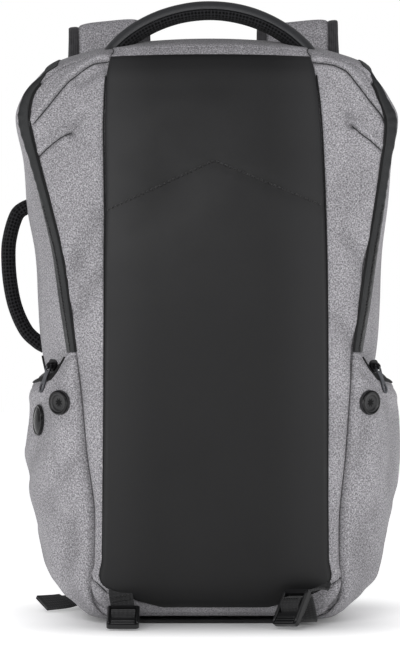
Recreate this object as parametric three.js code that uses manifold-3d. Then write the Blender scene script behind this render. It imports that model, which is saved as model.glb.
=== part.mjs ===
// A grey city backpack with a hidden main zip and a smooth black front panel, standing on its base.
// Millimetres. +X is to the right seen from the front, the front faces -Y, +Z is up.
// The origin is the middle of the base, on the surface that the pack stands on.
import * as THREE from "three";
import { mergeVertices } from "three/addons/utils/BufferGeometryUtils.js";
import Module from "manifold-3d";

const wasm = await Module();
wasm.setup();

// Driving dimensions
const clearance = 0.3; // between pieces that touch
const clothWall = 2.5; // foam backed cloth of the body
const pocketWall = 2;
const bodyFront = -82; // fullest point of the front
const frontSetback = 44; // how far the front slopes back at the top
const bodyBack = 62; // seam between body and back panel
const sway = -5; // the soft body leans a little to its left
const panelHalf = 96; // half widths of the body's rings
const bandOuterHalf = 162.5;
const bandInnerHalf = bandOuterHalf - 9.1; // the band's width seen from the front
const sideHalf = bandOuterHalf + 4.5; // the sides swell a little past the band
const backHalf = 150;
const bodyTop = 501; // crest seam
const bodyBottom = 3; // underside
const crestCrown = 6.6; // how far the crest is domed
const panelTop = 487;
const panelBottom = 14;
const panelCrown = 5; // how far the front panel is domed
const panelThick = 2.6;
const bandThick = 2.2;
const backPanelThick = 13;
const backPanelRound = 9;
const baseWidth = 172;
const baseDepth = 126;
const baseThick = 2.4;
const baseRound = 14;
const pocketHalf = bandOuterHalf + 0.2; // half width across both pockets
const pocketTop = 233;
const pocketBack = 58; // rear seam of the pockets
const pocketFullest = 19; // y of a pocket's widest line
const zipTapeWidth = 15;
const zipTapeThick = 1.6;
const eyeletRadius = 10.8;
const eyeletThick = 3;
const eyeletHeight = 188.5;
const eyeletAlong = 0.167; // share of the way round a pocket from its front seam
const portWidth = 19;
const portHeight = 27;
const portThick = 2.6;
const portLevel = 172.5;
const portAlong = 0.362;
const handleHalf = 88; // half the span of the top handle
const handleTop = 538;
const handleFoot = 486;
const handleThick = 16.5;
const handleWide = 27;
const handleY = -8;
const gripReach = -179.5; // outermost line of the side handle
const gripTop = 361;
const gripBottom = 236;
const gripY = 5;
const gripThick = 12.6;
const gripWide = 16;
const strapSpread = 85; // from the middle to the straps
const strapShift = -8;
const strapWidth = 74;
const strapThick = 10;
const strapTop = 526;
const strapTilt = 0.1; // the straps' loops stand a little askew, higher to the right
const strapReach = 118; // rearmost line of the straps
const bindingWidth = 9;
const bindingThick = 5;
const webWidth = 20;
const webThick = 1.6;
const buckleWidth = 27.4;
const buckleLength = 34;
const buckleThick = 4;
const strapBuckleDrop = 2; // below the end of the pad
const strapBuckleOut = 121.5;
const strapBuckleY = 101;
const sliderWidth = 9;
const sliderLength = 10;
const sliderThick = 3;
const hingeBore = 1.7; // inside radius of the slider's bridge
const bridgeWall = 1.3;
const bridgeWidth = 2;
const pullerLength = 26;
const pullerWidth = 5.4;
const pullerThick = 1.4;
const pullerBar = 1.6;
// Where each slider's hinge stands on its pocket: share of the way round, height, and lift.
const hingeSeats = { left: [0.28, 217, 7], right: [0.265, 216.5, 7] };
const pullerLean = [0.316, -0.298, 0.901]; // the right slider's up and face directions
const sliderFacing = [0.7, -0.69, 0.02];

const finishes = {
  melange: { color: 0xa5a3a6, roughness: 0.95, metalness: 0 },
  coated: { color: 0x353536, roughness: 0.55, metalness: 0 },
  band: { color: 0x3a3b3c, roughness: 0.6, metalness: 0 },
  mesh: { color: 0x18181a, roughness: 0.9, metalness: 0 },
  webbing: { color: 0x161616, roughness: 0.85, metalness: 0 },
  plastic: { color: 0x1c1c1c, roughness: 0.35, metalness: 0 },
  rubber: { color: 0x202021, roughness: 0.6, metalness: 0 },
  metal: { color: 0x55565a, roughness: 0.35, metalness: 1 },
};

// The body is worked out from five rings, seen from the front: the edge of the black panel, the two
// edges of the zip band, the widest line of the side, and the seam at the back.
// depth is the share of the way from the front face to the back seam.
const rings = [
  { half: panelHalf, bottom: panelBottom, top: panelTop, crown: 0.3, depth: 0 },
  { half: bandInnerHalf, bottom: bodyBottom + 5, top: bodyTop - 9, crown: 0.6, depth: 0.06 },
  { half: bandOuterHalf, bottom: bodyBottom + 1.5, top: bodyTop - 5, crown: 0.8, depth: 0.16 },
  { half: sideHalf, bottom: bodyBottom, top: bodyTop, crown: 1, depth: 0.55 },
  { half: backHalf, bottom: bodyBottom, top: bodyTop - 5, crown: 0.8, depth: 1 },
];

// One row for each height: its share of the ring's height, each ring's half width as a share of its
// own, how much of the front's setback it has, and how much of the sway sides, bands and panel have.
const bodyColumns = [
  "height", "panel", "bandInner", "bandOuter", "side", "back", "setback", "sway", "bandSway", "panelSway",
];
const bodyRows = [
  [0, 0.47, 0.548, 0.531, 0.539, 0.6, 0.18, 0.2, -0.2, -0.4],
  [0.014, 0.71, 0.639, 0.628, 0.647, 0.7, 0.09, 0.2, -0.3, -0.4],
  [0.044, 0.995, 0.691, 0.67, 0.719, 0.767, 0.02, 0.1, -0.5, -0.4],
  [0.09, 0.997, 0.678, 0.676, 0.754, 0.8, 0, 0, -0.7, -0.4],
  [0.185, 0.993, 0.681, 0.682, 0.772, 0.813, 0, -0.2, -0.79, -0.4],
  [0.277, 0.99, 0.717, 0.713, 0.796, 0.833, 0, -0.2, -0.64, -0.45],
  [0.371, 0.988, 0.744, 0.737, 0.826, 0.853, 0, 0.3, -0.51, -0.5],
  [0.454, 0.986, 0.769, 0.77, 0.874, 0.88, 0, 0.62, -0.3, -0.5],
  [0.546, 0.984, 0.808, 0.815, 0.898, 0.9, 0.045, 0.72, -0.35, -0.5],
  [0.637, 0.981, 0.851, 0.854, 0.912, 0.92, 0.136, 0.78, -0.32, -0.45],
  [0.714, 0.975, 0.903, 0.899, 0.946, 0.947, 0.25, 1, -0.05, -0.38],
  [0.795, 0.971, 0.958, 0.947, 0.966, 0.973, 0.4, 0.95, 0.4, -0.2],
  [0.871, 0.965, 1, 1, 1, 1, 0.57, 1.05, 0.87, 0],
  [0.911, 0.956, 0.978, 0.954, 0.958, 0.987, 0.67, 1.25, 1.3, 0.1],
  [0.938, 0.948, 0.939, 0.894, 0.903, 0.947, 0.75, 1.1, 1.1, 0.2],
  [0.972, 0.932, 0.821, 0.791, 0.8, 0.84, 0.86, 0.6, 0.4, 0.3],
  [1, 0.9, 0.548, 0.531, 0.551, 0.6, 1, 0.4, 0.4, 0.36],
];
const acrossSteps = 6;
const ringSteps = [0, 0.5, 1, 1.33, 1.67, 2, 2.3, 2.65, 3, 3.35, 3.7, 4];

// The zip band climbs the edge of the front, then turns over the shoulder to the back.
const bandColumns = ["height", "inner", "outer"];
const bandRows = [
  [0.447, 1, 2],
  [0.5, 1, 2],
  [0.546, 1, 2],
  [0.637, 1, 2],
  [0.714, 1, 2],
  [0.795, 1, 2],
  [0.871, 1, 2],
  [0.911, 1, 2],
  [0.938, 1.1, 2.15],
  [0.954, 1.4, 2.45],
  [0.965, 2, 3],
  [0.972, 2.65, 3.5],
  [0.976, 3.2, 3.95],
];
const bandSpans = 3;

// A pocket's half width as a share of pocketHalf, at shares of pocketTop.
const pocketColumns = ["height", "half"];
const pocketRows = [
  [0.013, 0.687],
  [0.034, 0.722],
  [0.072, 0.768],
  [0.116, 0.83],
  [0.161, 0.891],
  [0.235, 0.923],
  [0.335, 0.948],
  [0.438, 0.977],
  [0.505, 0.993],
  [0.603, 1],
  [0.691, 0.998],
  [0.794, 0.988],
  [0.839, 0.991],
  [0.88, 0.965],
  [0.914, 0.922],
  [0.948, 0.879],
  [1, 0.824],
];
// The upper edge of a pocket, as shares of pocketTop along its way from front seam to rear seam.
const mouthColumns = ["along", "height"];
const mouthRows = [
  [0, 1],
  [0.12, 0.994],
  [0.2, 0.974],
  [0.24, 0.948],
  [0.27, 0.918],
  [0.4, 0.899],
  [0.55, 0.88],
  [0.75, 0.863],
  [1, 0.845],
];
const pocketFrontShare = 0.65; // share of a pocket's way that lies before its widest line
const pocketLevels = 10;
const pocketSpans = 12;

// The route of a shoulder strap: out as a share of strapSpread, back and up as shares of the way
// from the back panel to strapReach and of strapTop, and the width as a share of strapWidth.
const strapColumns = ["out", "back", "up", "width"];
const strapRows = [
  [1, 0, 0.83, 0.96],
  [1, 0.02, 0.9, 1],
  [1, 0.14, 0.962, 1],
  [1.005, 0.28, 0.992, 1],
  [1.01, 0.5, 1.001, 1],
  [1.015, 0.72, 0.985, 1],
  [1.03, 0.88, 0.94, 1],
  [1.08, 0.97, 0.83, 1],
  [1.16, 1, 0.71, 0.97],
  [1.27, 0.94, 0.6, 0.86],
  [1.37, 0.78, 0.51, 0.74],
  [1.43, 0.6, 0.435, 0.66],
];
const strapSteps = 22;
const strapAcross = 3;
const strapSeat = strapThick / 2 + clearance; // the pad's middle line, sewn flat on the back panel

const lerp = THREE.MathUtils.lerp;
const clamp = THREE.MathUtils.clamp;

// A smooth value between the rows of a table, by a cubic through each pair of rows.
function between(columns, rows, key, value, name) {
  const k = columns.indexOf(key);
  const n = columns.indexOf(name);
  const last = rows.length - 1;
  const at = clamp(value, rows[0][k], rows[last][k]);
  let i = 0;
  while (i < last - 1 && at > rows[i + 1][k]) i += 1;
  const slope = (j) => {
    const a = rows[Math.max(0, j - 1)];
    const b = rows[Math.min(last, j + 1)];
    return (b[n] - a[n]) / (b[k] - a[k]);
  };
  const step = rows[i + 1][k] - rows[i][k];
  const t = (at - rows[i][k]) / step;
  const u = 1 - t;
  return (
    u * u * (1 + 2 * t) * rows[i][n] +
    t * t * (3 - 2 * t) * rows[i + 1][n] +
    t * u * step * (u * slope(i) - t * slope(i + 1))
  );
}

// A smooth value between the rings, by the same cubic.
function betweenRings(ring, valueOf) {
  const rows = rings.map((r, i) => [i, valueOf(r, i)]);
  return between(["ring", "value"], rows, "ring", ring, "value");
}

const ringNames = ["panel", "bandInner", "bandOuter", "side", "back"];
const swayNames = ["panelSway", "bandSway", "bandSway", "sway", "sway"];

// A point of the body: across runs from -1 to 1, height from 0 to 1, ring from 0 to 4.
function bodyPoint(across, height, ring) {
  const row = (name) => between(bodyColumns, bodyRows, "height", height, name);
  const half = betweenRings(ring, (r, i) => r.half * row(ringNames[i]));
  const bottom = betweenRings(ring, (r) => r.bottom);
  const top = betweenRings(ring, (r) => r.top);
  const crown = betweenRings(ring, (r) => r.crown) * crestCrown;
  const depth = betweenRings(ring, (r) => r.depth);
  const swayShare = betweenRings(ring, (_, i) => row(swayNames[i]));
  const face = bodyFront + frontSetback * row("setback");
  const domed = 1 - across * across;
  const nearTop = clamp((height - 0.9) / 0.1, 0, 1) ** 2;
  const upright = Math.sqrt(Math.max(0, Math.sin(Math.PI * height)));
  const bulge = panelCrown * domed * clamp(1 - ring, 0, 1) * upright;
  return new THREE.Vector3(
    sway * swayShare + across * half,
    lerp(face, bodyBack, depth) - bulge,
    lerp(bottom, top, height) + crown * domed * nearTop,
  );
}

// The normal of a surface given by a function of two values, by short steps.
function normalOf(surface, a, b, flip) {
  const d = 1e-3;
  const da = surface(a + d, b).sub(surface(a - d, b));
  const db = surface(a, b + d).sub(surface(a, b - d));
  return da.cross(db).normalize().multiplyScalar(flip);
}

// A closed geometry from points and four-sided or three-sided faces, with its faces turned outward.
function closedGeometry(points, faces) {
  const index = [];
  for (const f of faces) {
    index.push(f[0], f[1], f[2]);
    if (f.length === 4) index.push(f[0], f[2], f[3]);
  }
  let volume = 0;
  for (let i = 0; i < index.length; i += 3) {
    const [a, b, c] = [points[index[i]], points[index[i + 1]], points[index[i + 2]]];
    volume += a.dot(b.clone().cross(c));
  }
  if (volume < 0) index.reverse();
  const geometry = new THREE.BufferGeometry().setFromPoints(points);
  geometry.setIndex(index);
  return geometry;
}

function toSolid(geometry) {
  const bare = geometry.clone();
  bare.deleteAttribute("normal");
  bare.deleteAttribute("uv");
  const merged = mergeVertices(bare, 1e-3);
  return new wasm.Manifold(
    new wasm.Mesh({
      numProp: 3,
      vertProperties: merged.attributes.position.array,
      triVerts: new Uint32Array(merged.index.array),
    }),
  );
}

function toGeometry(solid) {
  const mesh = solid.getMesh();
  const geometry = new THREE.BufferGeometry();
  geometry.setAttribute("position", new THREE.BufferAttribute(mesh.vertProperties.slice(), 3));
  geometry.setIndex(new THREE.BufferAttribute(mesh.triVerts.slice(), 1));
  return geometry;
}

// The largest body of a solid, when a cut leaves crumbs behind.
function mainBody(solid) {
  return solid.decompose().sort((a, b) => b.volume() - a.volume())[0];
}

// A sheet of given thickness from a grid of { point, normal }: low and high are its two faces' lifts.
function sheet(grid, low, high) {
  const rows = grid.length;
  const cols = grid[0].length;
  const points = [];
  for (const lift of [low, high])
    grid.forEach((line, i) =>
      line.forEach(({ point, normal }, j) => {
        const by = typeof lift === "function" ? lift(i / (rows - 1), j / (cols - 1)) : lift;
        points.push(point.clone().addScaledVector(normal, by));
      }),
    );
  const at = (side, i, j) => side * rows * cols + i * cols + j;
  const faces = [];
  for (let i = 0; i < rows - 1; i += 1)
    for (let j = 0; j < cols - 1; j += 1) {
      faces.push([at(0, i, j), at(0, i, j + 1), at(0, i + 1, j + 1), at(0, i + 1, j)]);
      faces.push([at(1, i, j), at(1, i + 1, j), at(1, i + 1, j + 1), at(1, i, j + 1)]);
    }
  const rim = rimOf(rows, cols);
  rim.forEach(([i, j], n) => {
    const [k, l] = rim[(n + 1) % rim.length];
    faces.push([at(0, i, j), at(0, k, l), at(1, k, l), at(1, i, j)]);
  });
  return closedGeometry(points, faces);
}

// The rim of a grid, once round.
function rimOf(rows, cols) {
  const rim = [];
  for (let i = 0; i < rows; i += 1) rim.push([i, 0]);
  for (let j = 1; j < cols - 1; j += 1) rim.push([rows - 1, j]);
  for (let i = rows - 1; i >= 0; i -= 1) rim.push([i, cols - 1]);
  for (let j = cols - 2; j > 0; j -= 1) rim.push([0, j]);
  return rim;
}

const bodyHeights = bodyRows.map((row) => row[0]);
const bodyAcross = Array.from({ length: acrossSteps + 1 }, (_, j) => (2 * j) / acrossSteps - 1);
const loop = rimOf(bodyHeights.length, bodyAcross.length);

// The body's outer face: the cap inside the first ring, then ring after ring to the back seam.
// Every vertex has a normal, so that the same grid gives the wall, the panel and the clearances.
function bodyGrid() {
  const cap = bodyHeights.map((h) => bodyAcross.map((a) => bodyPoint(a, h, 0)));
  const loops = ringSteps
    .slice(1)
    .map((ring) => loop.map(([i, j]) => bodyPoint(bodyAcross[j], bodyHeights[i], ring)));
  return { cap, loops };
}

function gridVertices({ cap, loops }) {
  return [...cap.flat(), ...loops.flat()];
}

function gridFaces() {
  const cols = bodyAcross.length;
  const capAt = (i, j) => i * cols + j;
  const capSize = bodyHeights.length * cols;
  const loopAt = (k, n) =>
    k < 0 ? capAt(...loop[n % loop.length]) : capSize + k * loop.length + (n % loop.length);
  const faces = [];
  for (let i = 0; i < bodyHeights.length - 1; i += 1)
    for (let j = 0; j < cols - 1; j += 1)
      faces.push([capAt(i, j), capAt(i, j + 1), capAt(i + 1, j + 1), capAt(i + 1, j)]);
  for (let k = 0; k < ringSteps.length - 1; k += 1)
    for (let n = 0; n < loop.length; n += 1)
      faces.push([loopAt(k - 1, n), loopAt(k - 1, n + 1), loopAt(k, n + 1), loopAt(k, n)]);
  return { faces, lastLoop: loop.map((_, n) => loopAt(ringSteps.length - 2, n)) };
}

const bodyVertices = gridVertices(bodyGrid());
const { faces: bodyFaces, lastLoop } = gridFaces();

// Vertex normals of the body's outer face, pointing out of the body.
function vertexNormals(points, faces) {
  const normals = points.map(() => new THREE.Vector3());
  for (const [a, b, c, d] of faces) {
    const across = points[c].clone().sub(points[a]);
    const along = points[d].clone().sub(points[b]);
    const normal = across.cross(along);
    for (const n of [a, b, c, d]) normals[n].add(normal);
  }
  return normals.map((n) => n.normalize());
}
const bodyNormals = vertexNormals(bodyVertices, bodyFaces);
if (bodyNormals[0].y > 0) bodyNormals.forEach((n) => n.negate());

function lifted(by) {
  return bodyVertices.map((p, i) => p.clone().addScaledVector(bodyNormals[i], by));
}

// The whole body as one closed block, grown by a clearance: what lies on the body is cut with it.
function bodyBlock(grown) {
  const points = lifted(grown);
  const faces = bodyFaces.map((f) => [...f]);
  const middle = new THREE.Vector3();
  lastLoop.forEach((n) => middle.add(points[n]));
  middle.divideScalar(lastLoop.length);
  points.push(middle);
  lastLoop.forEach((n, k) => {
    faces.push([n, lastLoop[(k + 1) % lastLoop.length], points.length - 1]);
  });
  return toSolid(closedGeometry(points, faces));
}
const envelope = bodyBlock(clearance);

function bodyShell() {
  const outer = bodyVertices;
  const inner = lifted(-clothWall);
  lastLoop.forEach((n) => {
    inner[n].y = bodyBack;
  });
  const size = outer.length;
  const faces = bodyFaces.map((f) => [...f]);
  bodyFaces.forEach((f) => faces.push(f.map((n) => n + size).reverse()));
  lastLoop.forEach((n, k) => {
    const next = lastLoop[(k + 1) % lastLoop.length];
    faces.push([n, next, next + size, n + size]);
  });
  return closedGeometry([...outer, ...inner], faces);
}

function frontPanel() {
  const cols = bodyAcross.length;
  const grid = bodyHeights.map((_, i) =>
    bodyAcross.map((__, j) => ({
      point: bodyVertices[i * cols + j],
      normal: new THREE.Vector3(0, -1, 0),
    })),
  );
  const raw = toSolid(sheet(grid, -1, clearance + panelThick));
  return toGeometry(mainBody(raw.subtract(envelope)));
}

function zipBand(side) {
  const grid = bandRows.map(([height, inner, outer]) =>
    Array.from({ length: bandSpans + 1 }, (_, j) => {
      const ring = lerp(inner, outer, j / bandSpans);
      const surface = (h, w) => bodyPoint(side, h, w);
      return { point: surface(height, ring), normal: normalOf(surface, height, ring, side) };
    }),
  );
  const raw = toSolid(sheet(grid, -1.5, clearance + bandThick));
  return mainBody(raw.subtract(envelope).subtract(pocketBlock(side)));
}

// A pocket's outer face: along runs from the front seam to the rear seam, height is in millimetres.
function pocketPoint(side, along, z) {
  const share = (z - bodyBottom) / (bodyTop - bodyBottom);
  const front = bodyPoint(side, share, 1);
  const back = bodyPoint(side, share, 3.9);
  const half = pocketHalf * between(pocketColumns, pocketRows, "height", z / pocketTop, "half");
  const inFront = along < pocketFrontShare;
  const turn = inFront
    ? (Math.PI / 2) * (along / pocketFrontShare)
    : (Math.PI / 2) * ((1 - along) / (1 - pocketFrontShare));
  const seam = inFront ? front : back;
  const seamX = Math.abs(seam.x);
  return new THREE.Vector3(
    side * lerp(seamX, Math.max(half, seamX), Math.sin(turn)),
    lerp(pocketFullest, inFront ? front.y : pocketBack, Math.cos(turn)),
    z,
  );
}

function pocketGrid(side) {
  const surface = (a, z) => pocketPoint(side, a, z);
  return Array.from({ length: pocketLevels + 1 }, (_, i) =>
    Array.from({ length: pocketSpans + 1 }, (__, j) => {
      const along = j / pocketSpans;
      const top = pocketTop * between(mouthColumns, mouthRows, "along", along, "height");
      const eased = 0.5 - 0.5 * Math.cos((Math.PI * i) / pocketLevels);
      const z = lerp(bodyBottom, top, lerp(i / pocketLevels, eased, 0.5));
      const inside = clamp(along, 0.002, 0.998);
      return {
        point: surface(along, z),
        normal: normalOf(surface, inside, clamp(z, 4, pocketTop - 1), side),
      };
    }),
  );
}

function pocket(side) {
  const raw = toSolid(sheet(pocketGrid(side), -pocketWall, 0));
  return mainBody(raw.subtract(envelope));
}

// The zip tape closes the mouth: from inside the pocket's upper edge up to the body's side.
function pocketZip(side) {
  const from = 0.25;
  const to = 0.96;
  const count = 9;
  const grid = Array.from({ length: count }, (_, i) => {
    const along = lerp(from, to, i / (count - 1));
    const edgeZ = pocketTop * between(mouthColumns, mouthRows, "along", along, "height");
    const edge = pocketPoint(side, along, edgeZ - 2);
    const surface = (a, z) => pocketPoint(side, a, z);
    const out = normalOf(surface, along, edgeZ - 2, side);
    edge.addScaledVector(out, -pocketWall - clearance);
    const inward = new THREE.Vector3(-side, 0, 0);
    return [0, 0.5, 1].map((share) => ({
      point: edge
        .clone()
        .addScaledVector(inward, share * zipTapeWidth)
        .add(new THREE.Vector3(0, 0, share * zipTapeWidth * 0.8)),
      normal: new THREE.Vector3(side * 0.62, 0, 0.78),
    }));
  });
  const raw = toSolid(sheet(grid, -zipTapeThick, 0));
  return mainBody(raw.subtract(envelope).subtract(pocketBlock(side)));
}

// The pocket's wall grown by a clearance: what lies on it or meets its upper edge is cut with it.
function pocketBlock(side) {
  const wall = toSolid(sheet(pocketGrid(side), -pocketWall - clearance, clearance));
  return wall.add(wall.translate([0, 0, clearance * 1.4]));
}

// A round or oval piece whose axis is the pocket's outward normal at a height, on its outer face.
function onPocket(geometry, side, along, z) {
  const surface = (a, h) => pocketPoint(side, a, h);
  const out = normalOf(surface, along, z, side);
  const up = new THREE.Vector3(0, 0, 1).addScaledVector(out, -out.z).normalize();
  const right = new THREE.Vector3().crossVectors(up, out);
  const place = new THREE.Matrix4().makeBasis(right, up, out);
  place.setPosition(surface(along, z));
  return toSolid(geometry.clone().applyMatrix4(place));
}

// The eyelet: a rubber ring round a dished centre. The profile is turned about the outward axis.
function eyelet(side) {
  const r = eyeletRadius;
  const t = eyeletThick;
  const profile = [
    [0, -1.5],
    [r, -1.5],
    [r, 0.45 * t],
    [0.92 * r, 0.85 * t],
    [0.78 * r, t],
    [0.64 * r, 0.85 * t],
    [0.58 * r, 0.5 * t],
    [0.3 * r, 0.4 * t],
    [0, 0.35 * t],
  ];
  const turned = new THREE.LatheGeometry(profile.map(([x, y]) => new THREE.Vector2(x, y)), 16);
  turned.rotateX(Math.PI / 2);
  const raw = onPocket(turned, side, eyeletAlong, eyeletHeight);
  return mainBody(raw.subtract(pocketBlock(side)));
}

function sidePort() {
  const shape = new THREE.Shape();
  shape.absellipse(0, 0, portWidth / 2, portHeight / 2, 0, 2 * Math.PI);
  const plate = new THREE.ExtrudeGeometry(shape, {
    depth: portThick - 1,
    bevelEnabled: true,
    bevelSize: 1,
    bevelThickness: 1,
    bevelOffset: -1,
    bevelSegments: 1,
    curveSegments: 8,
  });
  const raw = onPocket(plate, -1, portAlong, portLevel);
  return mainBody(raw.subtract(pocketBlock(-1)));
}

// A path's solid with one fixed section, cut where it meets the body.
function sweep(points, shape, steps) {
  const curve = new THREE.CatmullRomCurve3(points, false, "centripetal");
  return toSolid(new THREE.ExtrudeGeometry(shape, { steps, extrudePath: curve, bevelEnabled: false }));
}

// Half an oval: the upper sleeve has the outer half of the section and the grip the inner half.
function halfOval(outer) {
  const shape = new THREE.Shape();
  const count = 7;
  const gap = clearance / 2;
  for (let i = 0; i <= count; i += 1) {
    const turn = (Math.PI * i) / count;
    const x = (handleWide / 2) * Math.cos(turn);
    const y = gap + (handleThick / 2 - gap) * Math.sin(turn) ** 0.8;
    const side = outer ? -1 : 1;
    if (i === 0) shape.moveTo(x, side * y);
    else shape.lineTo(x, side * y);
  }
  return shape;
}

function topHandle(outer) {
  const middle = handleTop - handleThick / 2;
  const points = Array.from({ length: 15 }, (_, i) => {
    const share = Math.sin((Math.PI / 2) * (i / 7 - 1));
    const rise = (1 - share * share) ** 0.75;
    return new THREE.Vector3(
      sway / 2 + share * handleHalf,
      handleY,
      lerp(handleFoot, middle, rise),
    );
  });
  return mainBody(sweep(points, halfOval(outer), 22).subtract(envelope));
}

// The side handle's route, as shares of its reach from the body's side and of its height.
const gripColumns = ["out", "up"];
const gripRows = [
  [0.15, 1],
  [0.5, 0.975],
  [0.76, 0.92],
  [0.97, 0.75],
  [1, 0.6],
  [0.93, 0.42],
  [0.77, 0.26],
  [0.47, 0.11],
  [0.12, 0.03],
  [-0.1, 0],
];

function sideHandle() {
  const seat = -150;
  const points = gripRows.map((row) => {
    const out = row[gripColumns.indexOf("out")];
    const up = row[gripColumns.indexOf("up")];
    return new THREE.Vector3(lerp(seat, gripReach, out), gripY, lerp(gripBottom, gripTop, up));
  });
  const shape = new THREE.Shape();
  shape.absellipse(0, 0, gripWide / 2, gripThick / 2, 0, 2 * Math.PI);
  const outline = new THREE.Shape(shape.getPoints(3));
  return mainBody(sweep(points, outline, 22).subtract(envelope));
}

// A flat tab sewn on the body's side, under the side handle's lower end.
function sideHandleTab() {
  const heights = [0.425, 0.44, 0.452];
  const grid = heights.map((h) =>
    [2.95, 3.2].map((w) => {
      const surface = (a, b) => bodyPoint(-1, a, b);
      return { point: surface(h, w), normal: normalOf(surface, h, w, -1) };
    }),
  );
  const raw = toSolid(sheet(grid, -1.5, clearance + webThick));
  return mainBody(raw.subtract(envelope));
}

function backPanel() {
  const inset = (across, height, by, y) => {
    const p = bodyPoint(across, height, 4);
    const middle = new THREE.Vector3(0, 0, (bodyTop + bodyBottom) / 2);
    const share = new THREE.Vector3(p.x - middle.x, 0, p.z - middle.z);
    const x = p.x - Math.sign(share.x) * Math.min(by, Math.abs(share.x));
    const z = p.z - by * clamp(share.z / (bodyTop / 2 - 30), -1, 1);
    return new THREE.Vector3(x, y, z);
  };
  const near = bodyBack + clearance;
  const far = near + backPanelThick;
  const levels = [
    [0, near],
    [0, far - backPanelRound],
    [0.3 * backPanelRound, far - 0.35 * backPanelRound],
    [backPanelRound, far],
  ];
  const cols = bodyAcross.length;
  const cap = ([by, y]) => bodyHeights.map((h) => bodyAcross.map((a) => inset(a, h, by, y)));
  const first = cap(levels[0]).flat();
  const last = cap(levels[levels.length - 1]).flat();
  const middleLoops = levels
    .slice(1, -1)
    .map(([by, y]) => loop.map(([i, j]) => inset(bodyAcross[j], bodyHeights[i], by, y)));
  const points = [...first, ...middleLoops.flat(), ...last];
  const lastStart = first.length + middleLoops.length * loop.length;
  const at = (k, n) => {
    const [i, j] = loop[n % loop.length];
    if (k === 0) return i * cols + j;
    if (k > middleLoops.length) return lastStart + i * cols + j;
    return first.length + (k - 1) * loop.length + (n % loop.length);
  };
  const faces = [];
  for (let i = 0; i < bodyHeights.length - 1; i += 1)
    for (let j = 0; j < cols - 1; j += 1) {
      const quad = [i * cols + j, i * cols + j + 1, (i + 1) * cols + j + 1, (i + 1) * cols + j];
      faces.push(quad);
      faces.push(quad.map((n) => n + lastStart).reverse());
    }
  for (let k = 0; k < levels.length - 1; k += 1)
    for (let n = 0; n < loop.length; n += 1)
      faces.push([at(k, n), at(k, n + 1), at(k + 1, n + 1), at(k + 1, n)]);
  return closedGeometry(points, faces);
}

function basePanel() {
  const w = baseWidth / 2 - baseRound;
  const d = baseDepth / 2 - baseRound;
  const shape = new THREE.Shape();
  shape.moveTo(-w, -d - baseRound);
  shape.lineTo(w, -d - baseRound);
  shape.absarc(w, -d, baseRound, -Math.PI / 2, 0);
  shape.absarc(w, d, baseRound, 0, Math.PI / 2);
  shape.absarc(-w, d, baseRound, Math.PI / 2, Math.PI);
  shape.absarc(-w, -d, baseRound, Math.PI, 1.5 * Math.PI);
  return new THREE.ExtrudeGeometry(shape, {
    depth: baseThick,
    bevelEnabled: false,
    curveSegments: 6,
  });
}

// A flat strap along a smooth route. Each station has a point, the direction of its width and a
// width; side shares pick a part of the width, and low and high are the lifts of its two faces.
function strapGrid(stations, steps, shares) {
  const route = new THREE.CatmullRomCurve3(stations.map((s) => s.point), false, "centripetal");
  const last = stations.length - 1;
  return Array.from({ length: steps + 1 }, (_, i) => {
    const t = i / steps;
    const at = Math.min(last - 1, Math.floor(t * last));
    const share = t * last - at;
    const width = lerp(stations[at].width, stations[at + 1].width, share);
    const across = stations[at].across.clone().lerp(stations[at + 1].across, share);
    const tangent = route.getTangent(t);
    across.addScaledVector(tangent, -across.dot(tangent)).normalize();
    const normal = new THREE.Vector3().crossVectors(tangent, across).normalize();
    return shares.map((s) => ({
      point: route.getPoint(t).addScaledVector(across, (s * width) / 2),
      normal,
    }));
  });
}

function strapStations(side) {
  const panelFace = bodyBack + clearance + backPanelThick;
  return strapRows.map((row) => {
    const value = (name) => row[strapColumns.indexOf(name)];
    return {
      point: new THREE.Vector3(
        strapShift * value("up") + side * strapSpread * value("out"),
        lerp(panelFace, strapReach, value("back")) + strapSeat * (1 - value("back")),
        strapTop * value("up"),
      ),
      across: new THREE.Vector3(1, 0, strapTilt),
      width: strapWidth * value("width"),
    };
  });
}
function shoulderStrap(side) {
  const inner = 1 - (2 * (bindingWidth + clearance)) / strapWidth;
  const shares = Array.from({ length: strapAcross + 1 }, (_, j) => inner * ((2 * j) / strapAcross - 1));
  const grid = strapGrid(strapStations(side), strapSteps, shares);
  const half = (_, v) => (strapThick / 2) * (1 - 0.4 * (2 * v - 1) ** 2);
  return sheet(grid, (u, v) => -half(u, v), half);
}

function strapBinding(side, edge) {
  const inner = 1 - (2 * bindingWidth) / strapWidth;
  const grid = strapGrid(strapStations(side), strapSteps, [edge * inner, edge]);
  return sheet(grid, -bindingThick / 2, bindingThick / 2);
}

// A ladder lock: a frame with two slots and a broad ribbed lip at its lower end.
function ladderLock() {
  const w = buckleWidth / 2;
  const l = buckleLength / 2;
  const r = 3;
  const shape = new THREE.Shape();
  shape.moveTo(-w + r, -l);
  shape.lineTo(w - r, -l);
  shape.absarc(w - r, -l + r, r, -Math.PI / 2, 0);
  shape.absarc(w - r, l - r, r, 0, Math.PI / 2);
  shape.absarc(-w + r, l - r, r, Math.PI / 2, Math.PI);
  shape.absarc(-w + r, -l + r, r, Math.PI, 1.5 * Math.PI);
  const slotHalf = webWidth / 2 + 0.5;
  for (const [low, high] of slotRows) {
    const hole = new THREE.Path();
    hole.moveTo(-slotHalf, low * buckleLength);
    hole.lineTo(-slotHalf, high * buckleLength);
    hole.lineTo(slotHalf, high * buckleLength);
    hole.lineTo(slotHalf, low * buckleLength);
    hole.closePath();
    shape.holes.push(hole);
  }
  const frame = new THREE.ExtrudeGeometry(shape, {
    depth: buckleThick,
    bevelEnabled: false,
    curveSegments: 4,
  });
  frame.translate(0, 0, -buckleThick / 2);
  return frame;
}
const slotRows = [
  [-0.17, 0.03],
  [0.18, 0.38],
];

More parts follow.
